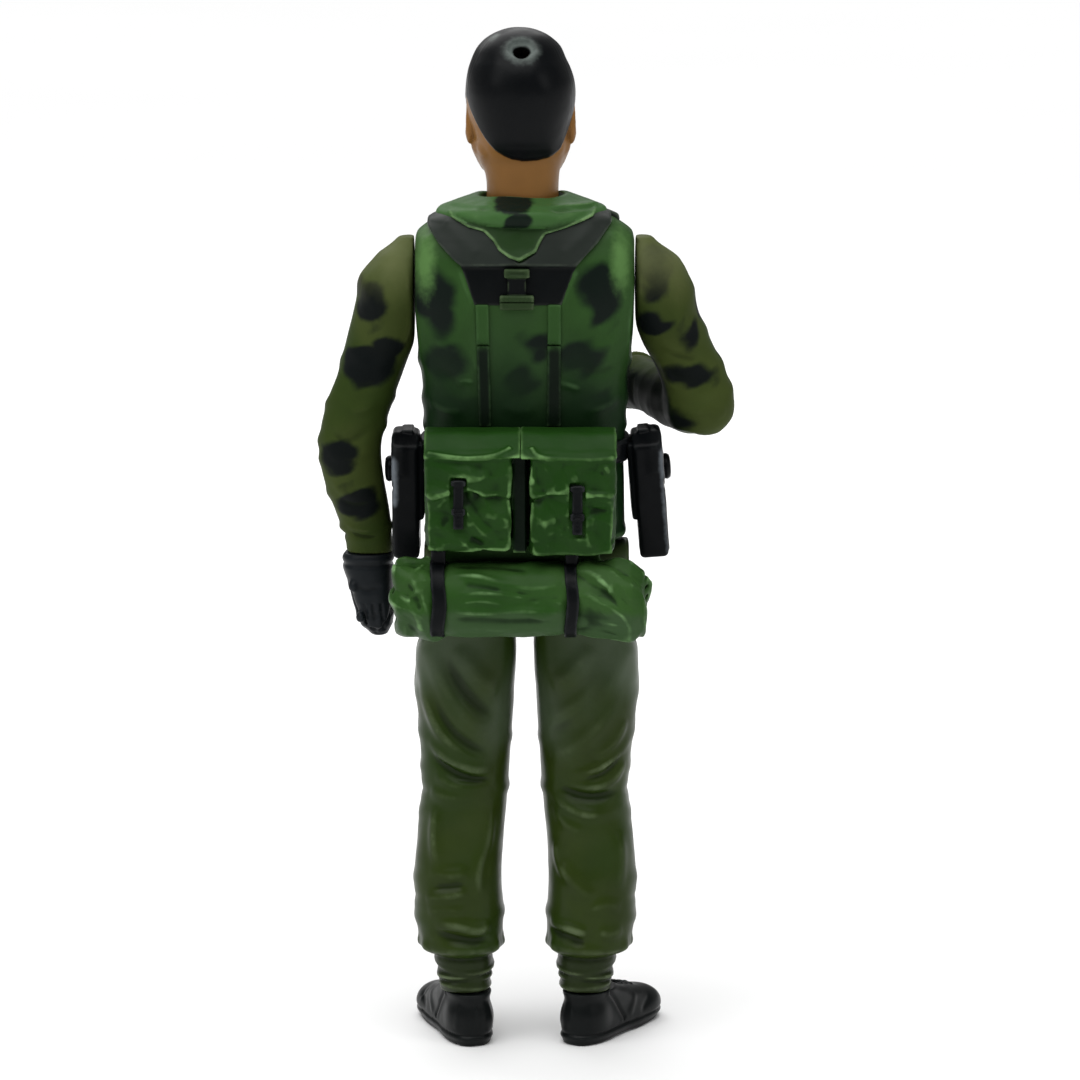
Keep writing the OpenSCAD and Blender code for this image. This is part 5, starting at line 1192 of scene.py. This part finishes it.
# ---------------------------------------------------------------- legs
leg_rows = [[5, 5.7, 2.4, -2.0, 3.4, 2.2], [7.4, 5.7, 2.6, -2.2, 3.6, 2.2], [8.3, 5.85, 2.9, -2.5, 3.8, 2.3], [9.4, 6.0, 3.75, -3.5, 4.5, 2.4], [12, 6.2, 4.15, -4.1, 4.8, 2.4], [16, 6.3, 4.1, -4.0, 4.7, 2.4],
            [20, 6.05, 4.05, -4.0, 4.4, 2.3], [24.5, 5.65, 4.05, -4.3, 4.0, 2.3], [29, 5.55, 4.25, -4.5, 4.2, 2.4], [34, 5.6, 4.6, -4.8, 4.5, 2.6], [37.4, 5.5, 4.7, -4.8, 4.6, 2.8], [39.5, 5.2, 4.4, -4.7, 4.6, 3], [43.5, 5.1, 4.3, -4.5, 4.5, 3]]
back_left = (([(8.8, 38.8), (7.5, 35.2), (5.4, 31.7), (3.0, 29.5)], 0.85, 0.42), ([(6.3, 38.8), (4.5, 35.8), (2.4, 34.2)], 0.8, 0.36), ([(9.7, 36.6), (8.5, 31.9), (6.3, 28.9), (3.0, 27.2)], 0.7, 0.36),
             ([(9.0, 29.6), (7.3, 28.1), (4.9, 27.0), (2.9, 26.8)], 0.5, 0.34), ([(8.9, 24.5), (6.6, 24.2), (2.9, 24.7)], 0.6, 0.22), ([(8.9, 28.3), (6.9, 26.7), (4.8, 25.9), (2.9, 25.9)], 0.42, -0.42),
             ([(7.6, 38.6), (6.2, 35.2), (4.2, 32.9), (2.6, 32.0)], 0.65, -0.38), ([(8.9, 34.4), (7.2, 31.0), (5.2, 29.2), (3.0, 28.3)], 0.5, -0.34), ([(8.4, 26.2), (6.4, 25.2), (3.2, 25.3)], 0.4, 0.2),
             ([(8.3, 23.6), (8.5, 20.3), (8.0, 17.2)], 0.5, 0.22), ([(3.1, 24.1), (3.5, 20.3), (4.4, 17.1), (4.2, 14.2)], 0.5, 0.24), ([(5.8, 22.6), (6.0, 19.0), (6.2, 16.4)], 1.4, -0.16),
             ([(9.0, 17.2), (7.0, 16.9), (5.2, 17.2)], 0.5, 0.2), ([(9.4, 14.4), (7.3, 14.8), (5.1, 15.2)], 0.45, 0.22), ([(8.9, 15.6), (7.0, 15.8), (5.4, 16.1)], 0.4, -0.2),
             ([(8.9, 11.5), (7.0, 10.9), (4.8, 10.5), (3.3, 10.8)], 0.45, -0.4), ([(8.6, 12.5), (6.4, 12.1), (4.3, 11.6), (3.2, 12.2)], 0.5, 0.34), ([(9.2, 13.2), (7.4, 13.6), (5.4, 13.2)], 0.5, 0.16))
back_right = (([(9.4, 38.8), (7.5, 35.2), (4.8, 32.6), (1.9, 31.2)], 0.85, 0.44), ([(8.9, 35.4), (6.6, 31.1), (4.2, 28.8), (2.2, 28.1)], 0.75, 0.42), ([(8.3, 37.6), (6.4, 34.0), (3.9, 31.5), (2.2, 30.3)], 0.55, -0.42),
              ([(6.2, 38.8), (4.4, 36.2), (2.4, 34.6)], 0.75, 0.3), ([(9.8, 29.6), (7.9, 27.7), (6.3, 26.7), (3.7, 26.1)], 0.42, 0.34), ([(9.4, 27.4), (8.2, 25.9), (6.3, 25.2), (3.7, 25.6)], 0.38, 0.3),
              ([(9.0, 24.6), (7.0, 24.2), (4.8, 24.4), (2.8, 25.3)], 0.42, -0.44), ([(9.2, 28.3), (7.4, 26.6), (5.2, 26.1)], 0.3, -0.3), ([(2.4, 24.6), (3.9, 23.2), (6.3, 22.5), (9.4, 23.1)], 0.45, 0.26),
              ([(9.4, 31.6), (8.2, 29.4), (6.4, 27.9)], 0.4, 0.26), ([(2.6, 23.4), (3.9, 21.6), (5.6, 20.8)], 0.5, 0.18), ([(3.3, 17.9), (4.8, 15.9), (6.6, 14.4)], 0.55, 0.26), ([(3.0, 20.0), (3.2, 18.0), (4.2, 16.0)], 0.5, 0.18),
              ([(8.6, 21.0), (8.8, 18.0), (8.4, 14.8)], 0.6, 0.2), ([(6.0, 21.4), (5.8, 18.6), (6.4, 16.2)], 1.3, -0.16), ([(2.3, 11.3), (3.9, 10.8), (5.8, 10.2)], 0.4, -0.42), ([(2.3, 12.0), (4.2, 11.7), (6.1, 11.2)], 0.42, 0.34),
              ([(9.2, 11.6), (7.8, 11.2), (6.6, 11.6)], 0.5, 0.16), ([(9.0, 13.6), (7.4, 14.0), (5.6, 13.4)], 0.5, 0.16))
front_folds = (([(9.2, 37.4), (7.0, 35.2), (3.2, 34.6)], 0.8, 0.32), ([(9.2, 33.2), (6.6, 31.4), (2.6, 31.2)], 0.7, 0.28), ([(8.8, 28.6), (6.0, 27.4), (2.4, 28.0)], 0.6, 0.26), ([(8.6, 24.2), (5.8, 23.0), (2.8, 23.8)], 0.55, 0.24),
               ([(8.9, 26.4), (6.0, 25.2), (2.6, 26.0)], 0.5, -0.24), ([(8.8, 19.2), (6.2, 17.8), (3.2, 18.8)], 0.6, 0.24), ([(9.2, 15.2), (6.2, 14.0), (3.0, 14.8)], 0.55, 0.26), ([(9.2, 12.4), (6.0, 11.4), (3.2, 12.4)], 0.5, 0.3),
               ([(8.8, 13.8), (6.2, 12.8), (3.2, 13.6)], 0.4, -0.22), ([(6.2, 38.4), (6.0, 32), (5.9, 25), (6.1, 17), (6.1, 12)], 0.6, 0.14))
side_folds = (([(-3.8, 36.4), (-0.4, 34.0), (3.8, 33.2)], 0.8, 0.3), ([(-3.8, 32.0), (0, 30.0), (3.6, 29.6)], 0.65, 0.26), ([(-3.4, 27.6), (0, 26.4), (3.2, 27.0)], 0.5, 0.26), ([(-3.4, 25.2), (0, 24.2), (3.2, 24.6)], 0.5, -0.24),
              ([(-3.0, 22.4), (0.2, 22.0), (3.4, 22.8)], 0.5, 0.2), ([(-3.2, 16.8), (0.2, 15.8), (3.6, 16.2)], 0.55, 0.24), ([(-3.2, 12.8), (0.4, 12.0), (3.8, 12.6)], 0.5, 0.3), ([(-3.0, 14.4), (0.4, 14.0), (3.8, 14.6)], 0.4, -0.2))
for s, hip_out, dw, name, node, folds in ((1, 9.4, 0.0, "trouser_left", "leg_left", back_left), (-1, 9.7, 0.3, "trouser_right", "leg_right", back_right)):
    w = Vol((0.4, -5.9, 4.5), (11.2, 6.0, 48.4), 0.175)
    rows = [[r[0], r[1] + (dw / 2 if r[0] > 28 else 0), r[2] + (dw / 2 if r[0] > 28 else 0), *r[3:]] for r in leg_rows]
    w.d = loft(w, rows, 0, 0.2)
    w.d = smin(w.d, smax(smax(cyl((0, 0, 43.5), (1, 0, 0), 4.5, 40)(w.x, w.y, w.z), 2.15 - w.x, 0.2), w.x - hip_out, 0.4), 0.3)
    w.d = smax(w.d, 0.78 - w.x, 0.1)
    # widened back folds and hollows first, then the front and side folds
    for p, ww, a in folds:
        w.fold(p, "+y", ww * 1.15, a * (1.7 if a > 0 else 1.1), 0.35)
    for p, ww, a in front_folds:
        w.fold(p, "-y", ww, a * 0.9)
    for p, ww, a in side_folds:
        w.fold(p, "+x", ww * 1.1, a * 0.6)
    for p, ww, a in (([(-3.4, 30), (0, 29.2), (3.4, 30)], 0.5, 0.16), ([(-3.0, 25), (0, 24.4), (3.2, 25)], 0.5, 0.2), ([(-3.2, 13), (0.2, 12.4), (3.4, 13)], 0.5, 0.22)):
        w.fold(p, "-x", ww, a)
    # side seam
    w.fold([(0.3, 42), (0.2, 34), (0.0, 26), (0.2, 17), (0.4, 11)], "+x", 0.16, -0.12, 0.03)
    # gathers where the trouser is bloused, and gaiter wraps under it
    th = np.arctan2(w.y - 0.5, w.x - 6.0)
    w.d -= (0.13 * np.maximum(np.sin(9 * th + 2.1 * np.sin(2 * th)), -0.2) * np.exp(-((w.z - 9.6) / 0.9) ** 2)).astype(F)
    w.d -= (0.22 * np.exp(-((w.z - 9.55) / 0.55) ** 2)).astype(F)
    w.d += (0.3 * np.exp(-((w.z - 8.5) / 0.3) ** 2)).astype(F)
    for z0, a, g in ((7.6, 0.12, 1.3), (6.9, 0.13, -1.1), (6.2, 0.12, 1.2), (5.6, 0.1, -0.6)):
        zc = z0 + g * 0.35 * np.sin(th * 1.0 + z0 * 2)
        w.d -= (a * np.exp(-((w.z - zc) / 0.24) ** 2)).astype(F)
        w.d += (a * np.exp(-((w.z - zc + 0.42) / 0.18) ** 2)).astype(F)
    w.d += (0.07 * w.noise(3.0, 131 + s) * step(8, 11, w.z)).astype(F)
    w.d = smax(w.d, 5.0 - w.z, 0.06)
    w.cut(lambda x, y, z: np.maximum(np.sqrt(y**2 + (z - 43.5) ** 2) - 4.6, x - 2.15), 0.12)
    w.d = smax(w.d, w.x - hip_out - np.clip(39 - w.z, 0, 9), 0.3)
    M = np.diag([s, 1, 1]).astype(float)
    # sheen: painted highlight, paler upper legs in bands where the top light falls.
    sheen = lambda P, N: np.clip((P[:, 2] - 33.5) * 0.34, -3, 1.4) + 3.0 * np.sin(P[:, 2] * 0.42 + P[:, 0] * 0.5) * np.clip(np.abs(P[:, 0] - 5.8) / 4, 0, 1) - 0.6
    gait = lambda P, N: 8.35 - P[:, 2] + 0.12 * np.sin(P[:, 0] * 2.2)
    surface(w, name, node, m_trouser, (node,), {"gaiter": gait, "sheen": sheen}, place=(M, (0, 0, 0)))

# ---------------------------------------------------------------- boots
boot_rows = [[0, 0, 2.35, -10.2, 3.3, 2.8], [.9, 0, 2.5, -10.5, 3.5, 2.8], [2, 0, 2.45, -10.3, 3.3, 2.6], [3.1, 0, 2.25, -8.6, 3.2, 2.4], [4.1, 0, 2.15, -5.4, 3.2, 2.3], [4.97, 0, 2.2, -2.6, 3.3, 2.2]]
for s, px, splay, name, node, body in ((1, 5.6, 18, "boot_sculpt_left", "boot_left", "leg_left"), (-1, -6.2, -33, "boot_sculpt_right", "boot_right", "leg_right")):
    w = Vol((-3.4, -11.4, -0.6), (3.4, 4.4, 5.6), 0.12)
    w.d = loft(w, boot_rows, 0, 0.2)
    # waist of the foot, toe cap, heel and a welt over the sole
    arch = np.exp(-((w.y + 2.2) / 2.2) ** 2)
    w.d += (0.22 * arch * step(3.6, 2.0, w.z)).astype(F)
    w.add(ell((0, -7.6, 1.5), (2.5, 3.0, 1.75)), 0.5)
    w.add(ell((0, 1.0, 2.4), (2.3, 2.4, 2.6)), 0.4)
    w.d -= (0.09 * np.exp(-((w.z - 0.75) / 0.22) ** 2)).astype(F)
    w.d += (0.12 * np.exp(-((w.z - 1.08) / 0.12) ** 2)).astype(F)
    w.fold([(-7.0, 1.6), (-6.6, 2.5), (-6.0, 3.4)], "+x", 0.2, 0.1)
    for way in ("+x", "-x"):
        w.fold([(0.2, 4.8), (-0.9, 3.7), (-1.9, 2.4), (-2.6, 1.5)], way, 0.2, -0.26, 0.06)
        w.fold([(0.55, 4.8), (-0.5, 3.7), (-1.5, 2.4), (-2.2, 1.5)], way, 0.22, 0.16, 0.06)
        w.fold([(-3.2, 1.6), (-3.8, 2.4), (-4.8, 3.6)], way, 0.35, 0.12)
        w.fold([(2.4, 1.4), (2.6, 2.6), (2.4, 4.2)], way, 0.3, 0.08)
        w.fold([(-5.0, 1.5), (-6.2, 2.2), (-7.4, 2.7)], way, 0.3, -0.1)
    w.fold([(0.1, 1.4), (0.0, 3.0), (0.1, 4.6)], "+y", 0.14, 0.1)
    for yy in (-3.4, -4.3, -5.2, -6.1):
        zt = float(np.interp(yy, [-8.6, -5.4, -2.6], [3.1, 4.1, 4.97]))
        w.add(caps([(-0.75, yy, zt - 0.02), (0, yy + 0.06, zt + 0.14), (0.75, yy, zt - 0.02)], 0.11), 0.08)
    w.d += (0.03 * w.noise(1.8, 141 + s)).astype(F)
    w.d = smax(w.d, -w.z, 0.12)
    w.d = smax(w.d, w.z - 4.97, 0.06)
    w.cut(cyl((0, 0.6, 0), (0, 0, 1), 1.2, 3.6), 0.06)
    # tread grooves under the sole
    for yy in np.arange(-9.3, -3.0, 1.05):
        w.cut(rbox((0, yy, -0.02), (1.7, 0.16, 0.18), 0.06), 0.04)
    for yy in (2.3, -1.4):
        w.cut(rbox((0, yy, -0.02), (1.6, 0.14, 0.18), 0.06), 0.04)
    a = math.radians(splay)
    M = np.array([[math.cos(a), -math.sin(a), 0], [math.sin(a), math.cos(a), 0], [0, 0, 1]])
    surface(w, name, body, m_boot, (node,), place=(M, (px, 0.5, 0)))

# ---------------------------------------------------------------- stage, lights and camera
me = bpy.data.meshes.new("sweep")

prof = [(6.0, 0.0), (2.0, 0.0), (-2.0, 0.0), (-6.0, 0.0)]
vs, fs = [], []
for y, z in prof:
    vs += [(-6, y, z), (6, y, z)]
for i in range(len(prof) - 1):
    fs.append((2 * i, 2 * i + 1, 2 * i + 3, 2 * i + 2))
me.from_pydata(vs, [], fs)
for p in me.polygons:
    p.use_smooth = True
floor = bpy.data.objects.new("stage_floor", me)
bpy.context.scene.collection.objects.link(floor)
fm = Mat("stage_pale")
fm.finish(fm.mix(fm.noise(3, 2), (0.9, 0.9, 0.9), (0.93, 0.93, 0.93)), 0.9, None, 0.0)
me.materials.append(fm.m)

world = bpy.data.worlds.new("studio")
bpy.context.scene.world = world
world.use_nodes = True
bg = world.node_tree.nodes.get("Background") or world.node_tree.nodes.new("ShaderNodeBackground")
bg.inputs[0].default_value = (1, 1, 1, 1)
bg.inputs[1].default_value = 0.2
# the backdrop beyond the floor is plain white to look at, and lights the figure only dimly
white = world.node_tree.nodes.new("ShaderNodeBackground")
white.inputs[0].default_value = (1, 1, 1, 1)
white.inputs[1].default_value = 1.0
path = world.node_tree.nodes.new("ShaderNodeLightPath")
both = world.node_tree.nodes.new("ShaderNodeMixShader")
out = world.node_tree.nodes.get("World Output") or world.node_tree.nodes.new("ShaderNodeOutputWorld")
world.node_tree.links.new(path.outputs["Is Camera Ray"], both.inputs[0])
world.node_tree.links.new(bg.outputs[0], both.inputs[1])
world.node_tree.links.new(white.outputs[0], both.inputs[2])
world.node_tree.links.new(both.outputs[0], out.inputs["Surface"])


def area(name, loc, aim, size, watts):
    L = bpy.data.lights.new(name, "AREA")
    L.shape = "RECTANGLE"
    L.size, L.size_y = size
    L.energy = watts
    o = bpy.data.objects.new(name, L)
    o.location = loc
    o.rotation_euler = (Vector(aim) - Vector(loc)).to_track_quat("-Z", "Y").to_euler()
    bpy.context.scene.collection.objects.link(o)


sun = bpy.data.lights.new("soft_top", "SUN")
sun.energy, sun.angle = 2.9, math.radians(70)
so = bpy.data.objects.new("soft_top", sun)
so.rotation_euler = (math.radians(-14), math.radians(6), 0)
bpy.context.scene.collection.objects.link(so)
area("behind_left", (0.42, 0.30, 0.34), (0, 0, 0.05), (0.3, 0.3), 0.42)
area("behind_right", (-0.45, 0.26, 0.3), (0, 0, 0.05), (0.25, 0.3), 0.3)
area("front_fill", (0.1, -0.4, 0.4), (0, 0, 0.05), (0.5, 0.4), 0.9)

cam = bpy.data.cameras.new("camera")
cam.lens, cam.sensor_width = 143.7, 36
cam.clip_start, cam.clip_end = 0.01, 10
co = bpy.data.objects.new("camera", cam)
co.location = (-0.00139, 0.3933, 0.12064)
co.rotation_euler = (Vector((-0.00139, 0, 0.04775)) - co.location).to_track_quat("-Z", "Y").to_euler()
bpy.context.scene.collection.objects.link(co)
bpy.context.scene.camera = co
bpy.context.scene.view_settings.view_transform = "Standard"
